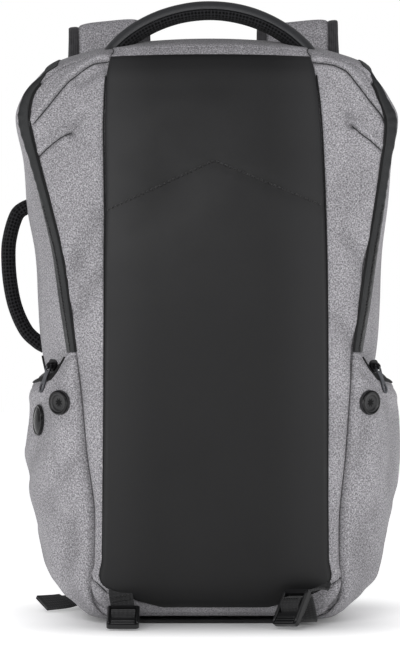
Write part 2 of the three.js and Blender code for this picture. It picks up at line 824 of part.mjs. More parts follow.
// A buckle's own axes: u across, v along its length upwards, n out of its face.
function frameOf(centre, v, facing) {
  const up = new THREE.Vector3(...v).normalize();
  const out = new THREE.Vector3(...facing);
  out.addScaledVector(up, -out.dot(up)).normalize();
  const across = new THREE.Vector3().crossVectors(up, out);
  const matrix = new THREE.Matrix4().makeBasis(across, up, out);
  matrix.setPosition(...centre);
  return { matrix, across };
}

// Stations of webbing given in a buckle's own axes, as rows of [along v, out n].
function throughBuckle(frame, rows) {
  return rows.map(([v, n]) => {
    const point = new THREE.Vector3(0, v * buckleLength, n * buckleThick);
    return { point: point.applyMatrix4(frame.matrix), across: frame.across, width: webWidth };
  });
}

function station(x, y, z, across) {
  return { point: new THREE.Vector3(x, y, z), across: new THREE.Vector3(...across), width: webWidth };
}

function webbing(stations, steps) {
  const half = webThick / 2;
  return toSolid(sheet(strapGrid(stations, steps, [-1, 1]), -half, half));
}

// Under the top bar, up through the upper slot, over the middle bar, down through the lower slot
// and back underneath. Shares of the buckle's length and thickness.
const threadedRows = [
  [0.5, -0.8],
  [0.41, -0.77],
  [0.353, -0.725],
  [0.28, 0],
  [0.206, 0.725],
  [0.103, 0.8],
  [0.003, 0.725],
  [-0.07, 0],
  [-0.144, -0.725],
  [-0.15, -1.15],
  [-0.08, -1.4],
  [0.18, -1.5],
  [0.42, -1.6],
];

// Up behind the lip, round the middle bar, and down in front of the lip.
const hookedRows = [
  [-0.6, -0.85],
  [-0.25, -0.82],
  [0, -0.84],
  [0.18, -0.84],
  [0.25, -0.55],
  [0.275, 0],
  [0.25, 0.55],
  [0.18, 0.84],
  [0, 0.84],
  [-0.25, 0.88],
  [-0.55, 0.9],
  [-0.75, 0.92],
];

// The front buckles lie on the floor before the pack, the left one flat and the right one turned.
const baseBuckles = {
  left: frameOf([-75.6, -110, 9.2], [0, 0.92, 0.39], [0, -0.39, 0.92]),
  right: frameOf([66, -111, 17.2], [0.343, 0.444, 0.828], [-0.598, -0.576, 0.557]),
};
const baseWebStarts = {
  left: [station(-78.5, -82, 36, [1, 0, 0]), station(-78.5, -83, 26, [1, 0, 0])],
  right: [station(91, -82.5, 38, [0.9, 0, 0.25]), station(88.5, -85, 31, [0.9, -0.15, 0.25])],
};
const baseWebEnds = {
  left: [station(-76, -78, 5.5, [1, 0, 0]), station(-76, -66, 1.5, [1, 0, 0])],
  right: [station(79, -80, 6, [0.95, -0.3, 0]), station(79, -66, 1.5, [1, 0, 0])],
};

function baseWeb(name, panel) {
  const stations = [
    ...baseWebStarts[name],
    ...throughBuckle(baseBuckles[name], threadedRows),
    ...baseWebEnds[name],
  ];
  const raw = webbing(stations, 2 * (stations.length - 1));
  const reach = name === "left" ? -clearance : clearance;
  const below = panel.add(panel.translate([0, 0, -clearance * 1.4]));
  const ahead = below.add(below.translate([0, -clearance, 0]));
  const grown = ahead.add(ahead.translate([reach, 0, 0]));
  return mainBody(raw.subtract(envelope).subtract(grown));
}

// The straps' own buckles hang under the ends of the pads, facing backwards.
function strapBuckleFrame(side) {
  const shift = strapShift * 0.435;
  const padEnd = strapTop * strapRows[strapRows.length - 1][strapColumns.indexOf("up")];
  const height = padEnd - buckleLength / 2 - strapBuckleDrop;
  const centre = [shift + side * strapBuckleOut, strapBuckleY, height];
  return frameOf(centre, [0, 0.15, 1], [0, 1, -0.15]);
}
// The webbing's lower end is sewn at the back panel's edge, and its stations are set from there:
// each is a step out from the foot, then y and z, and the direction of the width.
const strapWebFoot = 36; // height of the foot
const strapWebFeet = {
  left: [
    [0, 71, strapWebFoot, [0, 1, 0.15]],
    [5.1, 80, 70, [0.5, 0.9, 0]],
    [6.6, 90, 120, [1, 0.3, 0]],
    [6.1, 95, 165, [1, 0, 0]],
  ],
  right: [
    [0, 71, strapWebFoot, [0, -1, -0.15]],
    [3.6, 80, 70, [0.5, -0.9, 0]],
    [2.6, 90, 120, [1, -0.3, 0]],
    [-0.4, 95, 165, [1, 0, 0]],
  ],
};
const strapWebTails = {
  left: [
    [3.6, 108, 140, [1, 0, 0]],
    [-0.4, 110, 85, [1, 0, 0]],
    [-3.4, 106, 42, [1, -0.1, 0]],
    [-2.4, 94, 18, [0.95, -0.3, -0.05]],
    [2.6, 74, 9, [0.8, -0.55, -0.2]],
    [14.6, 52, 6.8, [0.5, -0.75, -0.42]],
    [32.6, 37, 6.4, [0.4, -0.78, -0.48]],
  ],
  right: [
    [-1.9, 107, 140, [1, 0, 0]],
    [-2.9, 107, 95, [1, 0, 0]],
    [-3.9, 106, 50, [1, 0, 0]],
  ],
};

function strapWebStations(side, rows) {
  const backTop = rings[rings.length - 1].top;
  const edge = bodyPoint(side, (strapWebFoot - bodyBottom) / (backTop - bodyBottom), 4);
  const foot = edge.x + (side * webThick) / 2;
  return rows.map(([out, y, z, across]) => station(foot + side * out, y, z, across));
}

function strapWeb(name) {
  const side = name === "left" ? -1 : 1;
  const frame = strapBuckleFrame(side);
  frame.across.negate(); // the buckle faces backwards, and the stations' widths run along +X
  const stations = [
    ...strapWebStations(side, strapWebFeet[name]),
    ...throughBuckle(frame, hookedRows),
    ...strapWebStations(side, strapWebTails[name]),
  ];
  return webbing(stations, 2 * (stations.length - 1));
}

// The slider's own axes: the hinge line across, up along the puller, and out of its face.
function sliderFrame(side) {
  const [lx, ly, lz] = pullerLean;
  const [fx, fy, fz] = sliderFacing;
  const [along, height, lift] = hingeSeats[side < 0 ? "left" : "right"];
  const surface = (a, z) => pocketPoint(side, a, z);
  const out = normalOf(surface, along, height, side);
  const centre = surface(along, height).addScaledVector(out, lift).toArray();
  return frameOf(centre, [-side * lx, ly, lz], [side * fx, fy, fz]);
}

function zipSlider(side) {
  const frame = sliderFrame(side);
  const w = sliderWidth / 2;
  const outer = hingeBore + bridgeWall;
  const plateTop = -hingeBore - 0.5;
  const outline = new THREE.Shape();
  outline.moveTo(-0.55 * w, -0.45 * sliderLength);
  outline.lineTo(0.55 * w, -0.45 * sliderLength);
  outline.quadraticCurveTo(w, -0.3 * sliderLength, w, 0.1 * sliderLength);
  outline.quadraticCurveTo(w, 0.55 * sliderLength, 0, 0.55 * sliderLength);
  outline.quadraticCurveTo(-w, 0.55 * sliderLength, -w, 0.1 * sliderLength);
  outline.quadraticCurveTo(-w, -0.3 * sliderLength, -0.55 * w, -0.45 * sliderLength);
  const plate = new THREE.ExtrudeGeometry(outline, {
    depth: sliderThick,
    bevelEnabled: false,
    curveSegments: 4,
  });
  plate.translate(0, 0, plateTop - sliderThick);
  const ring = new THREE.Shape();
  ring.absarc(0, 0, outer, 0, 2 * Math.PI);
  const bore = new THREE.Path();
  bore.absarc(0, 0, hingeBore, 0, 2 * Math.PI, true);
  ring.holes.push(bore);
  const bridge = new THREE.ExtrudeGeometry(ring, {
    depth: bridgeWidth,
    bevelEnabled: false,
    curveSegments: 8,
  });
  bridge.translate(0, 0, -bridgeWidth / 2);
  bridge.rotateY(Math.PI / 2);
  plate.applyMatrix4(frame.matrix);
  bridge.applyMatrix4(frame.matrix);
  const joined = toSolid(plate).add(toSolid(bridge));
  return mainBody(joined.subtract(envelope).subtract(pocketBlock(side)));
}

function zipPuller(side) {
  const frame = sliderFrame(side);
  const w = pullerWidth / 2;
  const bar = pullerBar / 2;
  const rows = [
    [1, bar],
    [1, -0.2 * pullerLength],
    [0.72, -0.36 * pullerLength],
    [0.7, -0.58 * pullerLength],
    [0.95, -0.76 * pullerLength],
    [0.95, -0.88 * pullerLength],
    [0.5, -0.98 * pullerLength],
  ];
  const outline = new THREE.Shape();
  rows.forEach(([share, y], i) => {
    if (i === 0) outline.moveTo(share * w, y);
    else outline.lineTo(share * w, y);
  });
  outline.lineTo(0, -pullerLength);
  [...rows].reverse().forEach(([share, y]) => outline.lineTo(-share * w, y));
  const windowHalf = bridgeWidth / 2 + 0.5;
  const windowEnd = hingeBore + bridgeWall + 2;
  outline.holes.push(
    new THREE.Path([
      new THREE.Vector2(-windowHalf, -bar),
      new THREE.Vector2(-windowHalf, -windowEnd),
      new THREE.Vector2(windowHalf, -windowEnd),
      new THREE.Vector2(windowHalf, -bar),
    ]),
  );
  const eye = new THREE.Path();
  eye.absellipse(0, -0.8 * pullerLength, 0.5 * w, 0.13 * pullerLength, 0, 2 * Math.PI);
  outline.holes.push(eye);
  const plate = new THREE.ExtrudeGeometry(outline, {
    depth: pullerThick,
    bevelEnabled: false,
    curveSegments: 6,
  });
  plate.translate(0, 0, -pullerThick / 2);
  return plate.applyMatrix4(frame.matrix);
}

const backpack = new THREE.Group();
const materials = Object.fromEntries(
  Object.entries(finishes).map(([name, values]) => [name, () => new THREE.MeshStandardMaterial(values)]),
);

function add(name, shape, finish) {
  const geometry = shape.isBufferGeometry ? shape : toGeometry(shape);
  const mesh = new THREE.Mesh(geometry, materials[finish]());
  mesh.name = name;
  backpack.add(mesh);
  return mesh;
}

add("body_shell", bodyShell(), "melange");
add("back_panel", backPanel(), "mesh");
add("base_panel", basePanel(), "coated");
const panelShape = frontPanel();
add("front_panel", panelShape, "coated");
add("top_handle", topHandle(true), "band");
add("top_handle_grip", topHandle(false), "mesh");
add("side_handle", sideHandle(), "mesh");
add("side_handle_tab", sideHandleTab(), "webbing");
add("side_port", sidePort(), "plastic");
for (const [name, side] of [["left", -1], ["right", 1]]) {
  add("zip_band_" + name, zipBand(side), "band");
  add("pocket_" + name, pocket(side), "melange");
  add("pocket_zip_" + name, pocketZip(side), "band");
  add("zip_slider_" + name, zipSlider(side), "plastic");
  add("zip_puller_" + name, zipPuller(side), "metal");
  add("eyelet_" + name, eyelet(side), "rubber");
  add("shoulder_strap_" + name, shoulderStrap(side), "melange");
  add("strap_binding_" + name + "_inner", strapBinding(side, -side), "webbing");
  add("strap_binding_" + name + "_outer", strapBinding(side, side), "webbing");
  const strapBuckle = ladderLock().applyMatrix4(strapBuckleFrame(side).matrix);
  add("strap_buckle_" + name, strapBuckle, "plastic");
  add("strap_web_" + name, strapWeb(name), "webbing");
  const baseBuckle = ladderLock().applyMatrix4(baseBuckles[name].matrix);
  add("base_buckle_" + name, baseBuckle, "plastic");
  add("base_web_" + name, baseWeb(name, toSolid(panelShape)), "webbing");
}

export default backpack;
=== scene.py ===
import bpy
import numpy as np
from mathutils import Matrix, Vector


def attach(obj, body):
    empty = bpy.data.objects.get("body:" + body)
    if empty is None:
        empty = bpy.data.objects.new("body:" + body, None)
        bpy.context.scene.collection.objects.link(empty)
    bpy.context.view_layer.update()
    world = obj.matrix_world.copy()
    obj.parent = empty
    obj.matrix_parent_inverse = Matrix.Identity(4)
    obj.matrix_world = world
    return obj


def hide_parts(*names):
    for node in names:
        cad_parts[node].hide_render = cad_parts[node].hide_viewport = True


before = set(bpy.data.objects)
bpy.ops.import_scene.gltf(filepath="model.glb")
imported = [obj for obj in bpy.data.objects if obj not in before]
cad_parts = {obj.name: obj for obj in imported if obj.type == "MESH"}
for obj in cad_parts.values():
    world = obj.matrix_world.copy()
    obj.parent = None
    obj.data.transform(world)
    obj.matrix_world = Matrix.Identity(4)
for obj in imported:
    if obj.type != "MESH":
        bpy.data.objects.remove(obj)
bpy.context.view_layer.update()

# Studio
# White paper underfoot, large soft lamps in front and at both sides, a pale backdrop behind, and a
# long lens at about the pack's mid height, looking straight at its front.
camera = bpy.data.objects.new("camera", bpy.data.cameras.new("camera"))
bpy.context.collection.objects.link(camera)
camera.location = (-0.011, -2.582, 0.2552)
camera.rotation_euler = (np.pi / 2, 0, 0)
camera.data.lens = 163.1
camera.data.sensor_width = 36
bpy.context.scene.camera = camera


def shade(tree, kind, inputs={}, **settings):
    """One shader node. settings are its own properties, and inputs maps a socket's name or number to
    a value or to another node's output."""
    made = tree.nodes.new("ShaderNode" + kind)
    for key, value in settings.items():
        setattr(made, key, value)
    for key, value in inputs.items():
        if isinstance(value, bpy.types.NodeSocket):
            tree.links.new(value, made.inputs[key])
        else:
            made.inputs[key].default_value = value
    return made


def bare_material(name, roughness):
    """A new material's node tree and its surface shader."""
    made = bpy.data.materials.new(name)
    made.use_nodes = True
    surface = made.node_tree.nodes["Principled BSDF"]
    surface.inputs["Roughness"].default_value = roughness
    return made, made.node_tree, surface


def studio_floor(pack_half, fade, glow):
    """White paper under the pack, a little self-lit as the lit paper is, but not within pack_half of
    the middle. The glow returns over the fade, so that the pack's shadow shows."""
    mesh = bpy.data.meshes.new("floor")
    corners = [(-6, -6, -0.001), (6, -6, -0.001), (6, 6, -0.001), (-6, 6, -0.001)]
    mesh.from_pydata(corners, [], [(0, 1, 2, 3)])
    paper, tree, surface = bare_material("floor", 0.9)
    surface.inputs["Base Color"].default_value = (0.9, 0.9, 0.9, 1)
    surface.inputs["Emission Color"].default_value = (1, 1, 1, 1)
    place = shade(tree, "TexCoord").outputs["Object"]
    aside = shade(tree, "VectorMath", {0: place}, operation="ABSOLUTE").outputs[0]
    past = shade(tree, "VectorMath", {0: aside, 1: (pack_half, pack_half, 0)},
                 operation="SUBTRACT").outputs[0]
    outside = shade(tree, "VectorMath", {0: past, 1: (0, 0, 0)}, operation="MAXIMUM").outputs[0]
    apart = shade(tree, "VectorMath", {0: outside}, operation="LENGTH").outputs["Value"]
    lit = shade(tree, "MapRange", {"Value": apart, "From Max": fade, "To Max": glow},
                interpolation_type="SMOOTHSTEP")
    tree.links.new(lit.outputs[0], surface.inputs["Emission Strength"])
    mesh.materials.append(paper)
    floor = bpy.data.objects.new("floor", mesh)
    bpy.context.collection.objects.link(floor)


studio_floor(0.06, 0.16, 0.75)


def softbox(name, place, aim, width, height, power):
    """One large soft lamp that faces a point."""
    lamp = bpy.data.lights.new(name, "AREA")
    lamp.shape = "RECTANGLE"
    lamp.size = width
    lamp.size_y = height
    lamp.energy = power
    made = bpy.data.objects.new(name, lamp)
    made.location = place
    made.rotation_euler = (Vector(aim) - Vector(place)).to_track_quat("-Z", "Y").to_euler()
    bpy.context.collection.objects.link(made)


softbox("key_lamp", (-0.5, -2.4, 1.45), (0, 0, 0.35), 1.3, 0.8, 20)
softbox("left_lamp", (-1.9, -1.8, 0.6), (0, 0, 0.25), 1.0, 1.2, 12)
softbox("right_lamp", (1.9, -1.8, 0.6), (0, 0, 0.25), 1.0, 1.2, 13)
air = bpy.data.worlds.new("studio")
air.use_nodes = True
sky = air.node_tree
level = shade(sky, "SeparateXYZ", {0: shade(sky, "TexCoord").outputs["Generated"]})
fall = shade(sky, "ValToRGB", {0: level.outputs["Z"]})
fall.color_ramp.elements[0].position = 0.14
fall.color_ramp.elements[0].color = (1, 1, 1, 1)
fall.color_ramp.elements[1].position = 0.32
fall.color_ramp.elements[1].color = (0.26, 0.26, 0.27, 1)
behind = shade(sky, "MapRange", {"Value": level.outputs["Y"], "From Min": -0.1, "From Max": 0.3})
room = shade(sky, "Mix", {0: behind.outputs[0], 6: (0.26, 0.26, 0.27, 1), 7: fall.outputs[0]},
             data_type="RGBA")
sky.links.new(room.outputs[2], sky.nodes["Background"].inputs["Color"])
sky.nodes["Background"].inputs["Strength"].default_value = 1.0
bpy.context.scene.world = air
bpy.context.scene.view_settings.view_transform = "Standard"


# Body
# The pack's body: foam backed cloth of grey melange polyester, cut as a front frame with two
# gussets, sewn at the corners with slanting seams, and open to the rear where the padded back
# closes it. It replaces the CAD shell and keeps its outer face.
# BODY_KEYS are the heights of 17 rows, as shares. Each ring has its widest half, its bottom, top,
# crown and depth, and RING_SHARES gives its half at every row as a share of that widest one. SETBACK
# is how far the front leans back, and the sways how far a row stands to the left, in steps of 5 mm.
BODY_KEYS = [0, 0.014, 0.044, 0.09, 0.185, 0.277, 0.371, 0.454, 0.546, 0.637, 0.714, 0.795,
             0.871, 0.911, 0.938, 0.972, 1]
RING_HALF = [0.096, 0.1534, 0.1625, 0.167, 0.150]
RING_BOTTOM = [0.014, 0.008, 0.0045, 0.003, 0.003]
RING_TOP = [0.487, 0.492, 0.496, 0.501, 0.496]
RING_CROWN = [0.3, 0.6, 0.8, 1, 0.8]
RING_DEPTH = [0, 0.06, 0.16, 0.55, 1]
RING_SHARES = [
    [0.47, 0.71, 0.995, 0.997, 0.993, 0.99, 0.988, 0.986, 0.984, 0.981, 0.975, 0.971, 0.965, 0.956,
     0.948, 0.932, 0.9],
    [0.548, 0.639, 0.691, 0.678, 0.681, 0.717, 0.744, 0.769, 0.808, 0.851, 0.903, 0.958, 1, 0.978,
     0.939, 0.821, 0.548],
    [0.531, 0.628, 0.67, 0.676, 0.682, 0.713, 0.737, 0.77, 0.815, 0.854, 0.899, 0.947, 1, 0.954,
     0.894, 0.791, 0.531],
    [0.539, 0.647, 0.719, 0.754, 0.772, 0.796, 0.826, 0.874, 0.898, 0.912, 0.946, 0.966, 1, 0.958,
     0.903, 0.8, 0.551],
    [0.6, 0.7, 0.767, 0.8, 0.813, 0.833, 0.853, 0.88, 0.9, 0.92, 0.947, 0.973, 1, 0.987, 0.947, 0.84,
     0.6],
]
SETBACK = [0.18, 0.09, 0.02, 0, 0, 0, 0, 0, 0.045, 0.136, 0.25, 0.4, 0.57, 0.67, 0.75, 0.86, 1]
SWAY = [0.2, 0.2, 0.1, 0, -0.2, -0.2, 0.3, 0.62, 0.72, 0.78, 1, 0.95, 1.05, 1.25, 1.1, 0.6, 0.4]
BAND_SWAY = [-0.2, -0.3, -0.5, -0.7, -0.79, -0.64, -0.51, -0.3, -0.35, -0.32, -0.05, 0.4, 0.87, 1.3,
             1.1, 0.4, 0.4]
PANEL_SWAY = [-0.4, -0.4, -0.4, -0.4, -0.4, -0.45, -0.5, -0.5, -0.5, -0.45, -0.38, -0.2, 0, 0.1,
              0.2, 0.3, 0.36]


def smooth_rows(keys, values, at):
    """Values on a smooth curve through rows: a cubic between two rows, each row's slope being that
    of the line between its neighbours. values may hold several columns after the first axis."""
    keys = np.asarray(keys, float)
    values = np.asarray(values, float)
    before = np.maximum(np.arange(len(keys)) - 1, 0)
    after = np.minimum(np.arange(len(keys)) + 1, len(keys) - 1)
    run = (keys[after] - keys[before]).reshape((-1,) + (1,) * (values.ndim - 1))
    slopes = (values[after] - values[before]) / run
    at = np.clip(at, keys[0], keys[-1])
    i = np.clip(np.searchsorted(keys, at) - 1, 0, len(keys) - 2)
    step = keys[i + 1] - keys[i]
    t = (at - keys[i]) / step
    if values.ndim > 1:
        step, t = step[..., None], t[..., None]
    u = 1 - t
    return (u * u * (1 + 2 * t) * values[i] + t * t * (3 - 2 * t) * values[i + 1]
            + t * u * step * (u * slopes[i] - t * slopes[i + 1]))


def body_point(across, height, ring):
    """Points of the body's outer face. across runs from -1 to 1, height from 0 to 1 and ring from 0,
    the black panel's edge, to 4, the seam at the back: the half width and the height of each ring
    come from the tables, and the rings are joined by the same smooth curve."""
    across, height, ring = np.broadcast_arrays(np.asarray(across, float), height, ring)
    rows = np.array(RING_SHARES).T * np.array(RING_HALF)
    halves = smooth_rows(BODY_KEYS, rows, height)
    spot = np.clip(np.floor(ring).astype(int), 0, 3)
    t = np.clip(ring, 0, 4) - spot
    u = 1 - t

    def mixed(values):
        """One value for each ring, joined smoothly between the rings."""
        values = np.broadcast_to(values, halves.shape)
        pick = lambda k: np.take_along_axis(values, np.clip(k, 0, 4)[..., None], -1)[..., 0]
        here, there = pick(spot), pick(spot + 1)
        low = (there - pick(spot - 1)) / np.where(spot > 0, 2, 1)
        high = (pick(spot + 2) - here) / np.where(spot < 3, 2, 1)
        return (u * u * (1 + 2 * t) * here + t * t * (3 - 2 * t) * there
                + t * u * (u * low - t * high))

    half = mixed(halves)
    bottom, top, crown, depth = (mixed(np.array(v)) for v in (
        RING_BOTTOM, RING_TOP, RING_CROWN, RING_DEPTH))
    leans = np.array([PANEL_SWAY, BAND_SWAY, BAND_SWAY, SWAY, SWAY, SETBACK]).T
    lean = smooth_rows(BODY_KEYS, leans, height)
    near = np.clip(ring, 0, 1)
    swayed = -0.005 * mixed(lean[..., :5])
    face = -0.082 + 0.044 * lean[..., 5]
    domed = 1 - across * across
    rise = np.clip((height - 0.9) / 0.1, 0, 1) ** 2
    bulge = 0.005 * domed * (1 - near) * np.sqrt(np.sin(np.pi * np.clip(height, 0, 1)))
    return np.stack([
        swayed + across * half,
        face + (BACK_SEAM - face) * depth - bulge,
        bottom + (top - bottom) * height + 0.0066 * crown * domed * rise,
    ], -1)


BODY_MIDDLE = (0, 0.03, 0.25)
BACK_SEAM = 0.062
CLOTH_WALL = 0.0025


def unit(ways):
    """Directions of length one."""
    return ways / np.linalg.norm(ways, axis=-1, keepdims=True)


def bell(distance, spread):
    """A smooth hump: 1 at no distance and almost nothing at twice the spread."""
    return np.exp(-(distance / spread) ** 2)


def rolled(distance, radius):
    """How far a sewn edge has risen at a distance from it: a quarter circle, from 0 to 1."""
    return np.sqrt(np.clip(1 - (1 - np.clip(distance / radius, 0, 1)) ** 2, 0, 1))


def facing_out(normal, points):
    """Normals turned to point away from the pack's middle."""
    return normal * np.sign((normal * (points - BODY_MIDDLE)).sum(-1, keepdims=True))


def normals_of(points):
    """Unit normals of a grid of points, from the steps to its neighbours along both ways."""
    down = np.gradient(points, axis=0)
    side = np.gradient(points, axis=1)
    found = np.cross(down, side)
    length = np.linalg.norm(found, axis=-1, keepdims=True)
    return found / np.maximum(length, 1e-12)


def lengths_of(points, axis):
    """Distances along one way of a grid, added up from its start, in metres."""
    steps = np.linalg.norm(np.diff(points, axis=axis), axis=-1)
    first = np.zeros_like(np.take(steps, [0], axis))
    return np.concatenate([first, np.cumsum(steps, axis)], axis)


def cut_places(grid):
    """Each point's place on the flat cloth, across and along, from the grid's own distances."""
    return np.stack([lengths_of(grid, 1), lengths_of(grid, 0)], -1).reshape(-1, 2)


def line_distance(at, line):
    """The distance from each place to the nearest point of a broken line, all in one plane, with a
    plus sign over the line and a minus sign under it."""
    line = np.asarray(line, float)
    start, way = line[:-1], np.diff(line, axis=0)
    from_start = at[..., None, :] - start
    share = np.clip((from_start * way).sum(-1) / (way * way).sum(-1), 0, 1)
    off = from_start - share[..., None] * way
    apart = np.linalg.norm(off, axis=-1)
    above = np.stack([-way[:, 1], way[:, 0]], -1) * np.where(way[:, :1] < 0, -1, 1)
    near = apart.argmin(-1)[..., None]
    over = np.take_along_axis((off * above).sum(-1), near, -1)[..., 0]
    return np.take_along_axis(apart, near, -1)[..., 0] * np.where(over < 0, -1, 1)


def waves(places, sizes, seed):
    """Soft uneven folds: a few sine waves of given lengths in seeded ways, each about 1 high."""
    rng = np.random.default_rng(seed)
    total = np.zeros(places.shape[:-1])
    for size in sizes:
        way = unit(rng.normal(size=places.shape[-1]))
        turn = unit(rng.normal(size=places.shape[-1]))
        bend = 0.8 * np.sin(places @ turn * (2 * np.pi / (2.3 * size)) + rng.uniform(0, 6.28))
        total += np.sin(places @ way * (2 * np.pi / size) + bend + rng.uniform(0, 6.28))
    return total / len(sizes)


def new_piece(name, points, faces, places=None, dark=None):
    """A smooth mesh object at the origin. places, one pair for each point, are distances on the flat
    cloth in metres, kept as the UV map; dark is how deep in a seam or fold each point lies."""
    mesh = bpy.data.meshes.new(name)
    mesh.from_pydata(np.asarray(points).reshape(-1, 3).tolist(), [], [list(f) for f in faces])
    corners = np.empty(len(mesh.loops), int)
    mesh.loops.foreach_get("vertex_index", corners)
    if places is not None:
        flat = np.asarray(places, float).reshape(-1, 2)
        mesh.uv_layers.new(name="cloth").data.foreach_set("uv", flat[corners].ravel())
    # The seam attribute is painted shade: the finishes darken the colour by it.
    if dark is not None:
        depth = mesh.attributes.new("seam", "FLOAT", "POINT")
        depth.data.foreach_set("value", np.asarray(dark, float).ravel())
    mesh.polygons.foreach_set("use_smooth", np.ones(len(mesh.polygons), bool))
    mesh.update()
    made = bpy.data.objects.new(name, mesh)
    bpy.context.collection.objects.link(made)
    return made


def grid_faces(rows, columns, around=False):
    """The four-sided faces of a grid of points, or of one that closes on itself round its columns."""
    spans = columns if around else columns - 1
    i, j = np.meshgrid(np.arange(rows - 1), np.arange(spans), indexing="ij")
    k = (j + 1) % columns
    quads = np.stack([i * columns + j, i * columns + k, (i + 1) * columns + k, (i + 1) * columns + j], -1)
    return quads.reshape(-1, 4)


def tube_faces(rows, around):
    """The faces of a grid that closes on itself round its columns, with a cap at both ends."""
    ring = np.arange(around)
    return [*grid_faces(rows, around, True).tolist(), ring[::-1].tolist(),
            (ring + (rows - 1) * around).tolist()]


def linear(colour):
    """A colour written as six hex digits, as the shader's linear red, green, blue and alpha."""
    c = np.array([int(colour[i:i + 2], 16) for i in (0, 2, 4)]) / 255
    c = np.where(c <= 0.04045, c / 12.92, ((c + 0.055) / 1.055) ** 2.4)
    return (*c, 1)


def own_place(tree):
    """The place on the piece in its Object coordinates, in metres."""
    return shade(tree, "TexCoord").outputs["Object"]


def noise(tree, place, scale, detail=2.0, roughness=0.5):
    """Soft cloudy noise at a place, scale to the metre."""
    return shade(tree, "TexNoise", {"Vector": place, "Scale": scale, "Detail": detail,
                                    "Roughness": roughness}).outputs[0]


def bands(tree, place, scale, way, **inputs):
    """Even bands across one way of a place."""
    return shade(tree, "TexWave", {"Vector": place, "Scale": scale, **inputs}, bands_direction=way).outputs[1]


def scaled(tree, socket, by):
    """A place's coordinates, stretched by one factor for each axis."""
    return shade(tree, "VectorMath", {0: socket, 1: by}, operation="MULTIPLY").outputs[0]


def darker(tree, colour, socket, most):
    """A colour that darkens towards black by a share of at most `most` as the socket goes to 1."""
    share = shade(tree, "MapRange", {"Value": socket, "To Min": 1.0, "To Max": 1 - most})
    return shade(tree, "Mix", {0: 1.0, 6: colour, 7: share.outputs[0]},
                 data_type="RGBA", blend_type="MULTIPLY").outputs[2]


def tones(tree, socket, low, high, start=0.0, stop=1.0):
    """A colour that runs from low to high, each given as six hex digits or as linear values."""
    ramp = shade(tree, "ValToRGB", {0: socket})
    for end, colour, place in zip(ramp.color_ramp.elements, (low, high), (start, stop)):
        end.position = place
        end.color = linear(colour) if isinstance(colour, str) else colour
    return ramp


def times(colour, share):
    """A colour's light multiplied by a share."""
    return (*(np.array(linear(colour))[:3] * share), 1)


def painted_seam_shade(tree, surface, colour, most):
    """Gives the surface a colour with painted shade: it darkens in seams, folds and hollows, by the seam
    attribute.
    """
    seam = shade(tree, "Attribute", attribute_name="seam").outputs["Fac"]
    tree.links.new(darker(tree, colour, seam, most), surface.inputs["Base Color"])


def bumped(tree, surface, height, strength, distance):
    """Gives the surface a relief, distance high in metres."""
    bump = shade(tree, "Bump", {"Height": height, "Strength": strength, "Distance": distance})
    tree.links.new(bump.outputs[0], surface.inputs["Normal"])


def melange_cloth():
    """Grey melange polyester: light and dark fibres spun together, so every thread of the plain
    weave changes shade along its length. The flecks are about 0.7 mm wide and 1.7 to 1.9 mm long."""
    made, tree, surface = bare_material("grey melange polyester cloth", 0.93)
    cloth = shade(tree, "UVMap", uv_map="cloth").outputs[0]
    body = own_place(tree)
    weft = noise(tree, scaled(tree, cloth, (600, 1500, 1)), 1.0, 1.0)
    warp = noise(tree, scaled(tree, cloth, (1500, 520, 1)), 1.0, 1.0)
    fleck = noise(tree, body, 850.0, 2.0, 0.6)
    threads = shade(tree, "Math", {0: weft, 1: warp}, operation="ADD").outputs[0]
    mixed = shade(tree, "Math", {0: threads, 1: fleck}, operation="ADD").outputs[0]
    spread = shade(tree, "MapRange", {"Value": mixed, "From Min": 1.12, "From Max": 1.88}).outputs[0]
    ramp = tones(tree, spread, "6f6d71", "d6d4d8", 0.1, 0.9)
    middle = ramp.color_ramp.elements.new(0.5)
    middle.color = linear("a3a1a5")
    cloud = noise(tree, body, 9.0)
    slub = noise(tree, scaled(tree, body, (90, 90, 22)), 1.0, 1.0)
    cloudy = darker(tree, darker(tree, ramp.outputs[0], cloud, 0.3), slub, 0.2)
    # Painted shade: the cloth darkens in seams, folds and hollows by the seam attribute.
    painted_seam_shade(tree, surface, cloudy, 0.55)
    ribs = bands(tree, cloth, 320.0, "X")
    rows = bands(tree, cloth, 320.0, "Y")
    weave = shade(tree, "Math", {0: ribs, 1: rows}, operation="MULTIPLY").outputs[0]
    relief = shade(tree, "Math", {0: weave, 1: fleck}, operation="ADD").outputs[0]
    bumped(tree, surface, relief, 0.2, 0.0002)
    surface.inputs["Sheen Weight"].default_value = 0.08
    surface.inputs["Sheen Roughness"].default_value = 0.5
    return made


GREY_CLOTH = melange_cloth()


def finer(rows, parts):
    """Row values with each gap between two rows cut into parts."""
    return np.interp(np.arange(0, len(rows) - 1 + 1e-9, 1 / parts), np.arange(len(rows)), rows)


# The slanting seams of the front, each as points to the side and up, in metres.
FRONT_SEAMS = {
    "left_upper": [(-0.1540, 0.4281), (-0.1458, 0.4378), (-0.1350, 0.4514), (-0.1252, 0.4631),
                   (-0.1178, 0.4693), (-0.1106, 0.4750), (-0.1023, 0.4799), (-0.0893, 0.4823)],
    "left_lower": [(-0.1494, 0.3992), (-0.1422, 0.4062), (-0.1314, 0.4148), (-0.1216, 0.4198)],
    "left_corner": [(-0.1040, 0.0404), (-0.0971, 0.0340), (-0.0902, 0.0267)],
    "right_upper": [(0.1481, 0.4293), (0.1450, 0.4357), (0.1352, 0.4479), (0.1243, 0.4625),
                    (0.1157, 0.4733), (0.1058, 0.4784), (0.0992, 0.4799), (0.0864, 0.4817)],
    "right_lower": [(0.1440, 0.4055), (0.1347, 0.4135), (0.1258, 0.4199), (0.1195, 0.4260)],
    "right_corner": [(0.1108, 0.0408), (0.1048, 0.0368), (0.0994, 0.0332)],
}
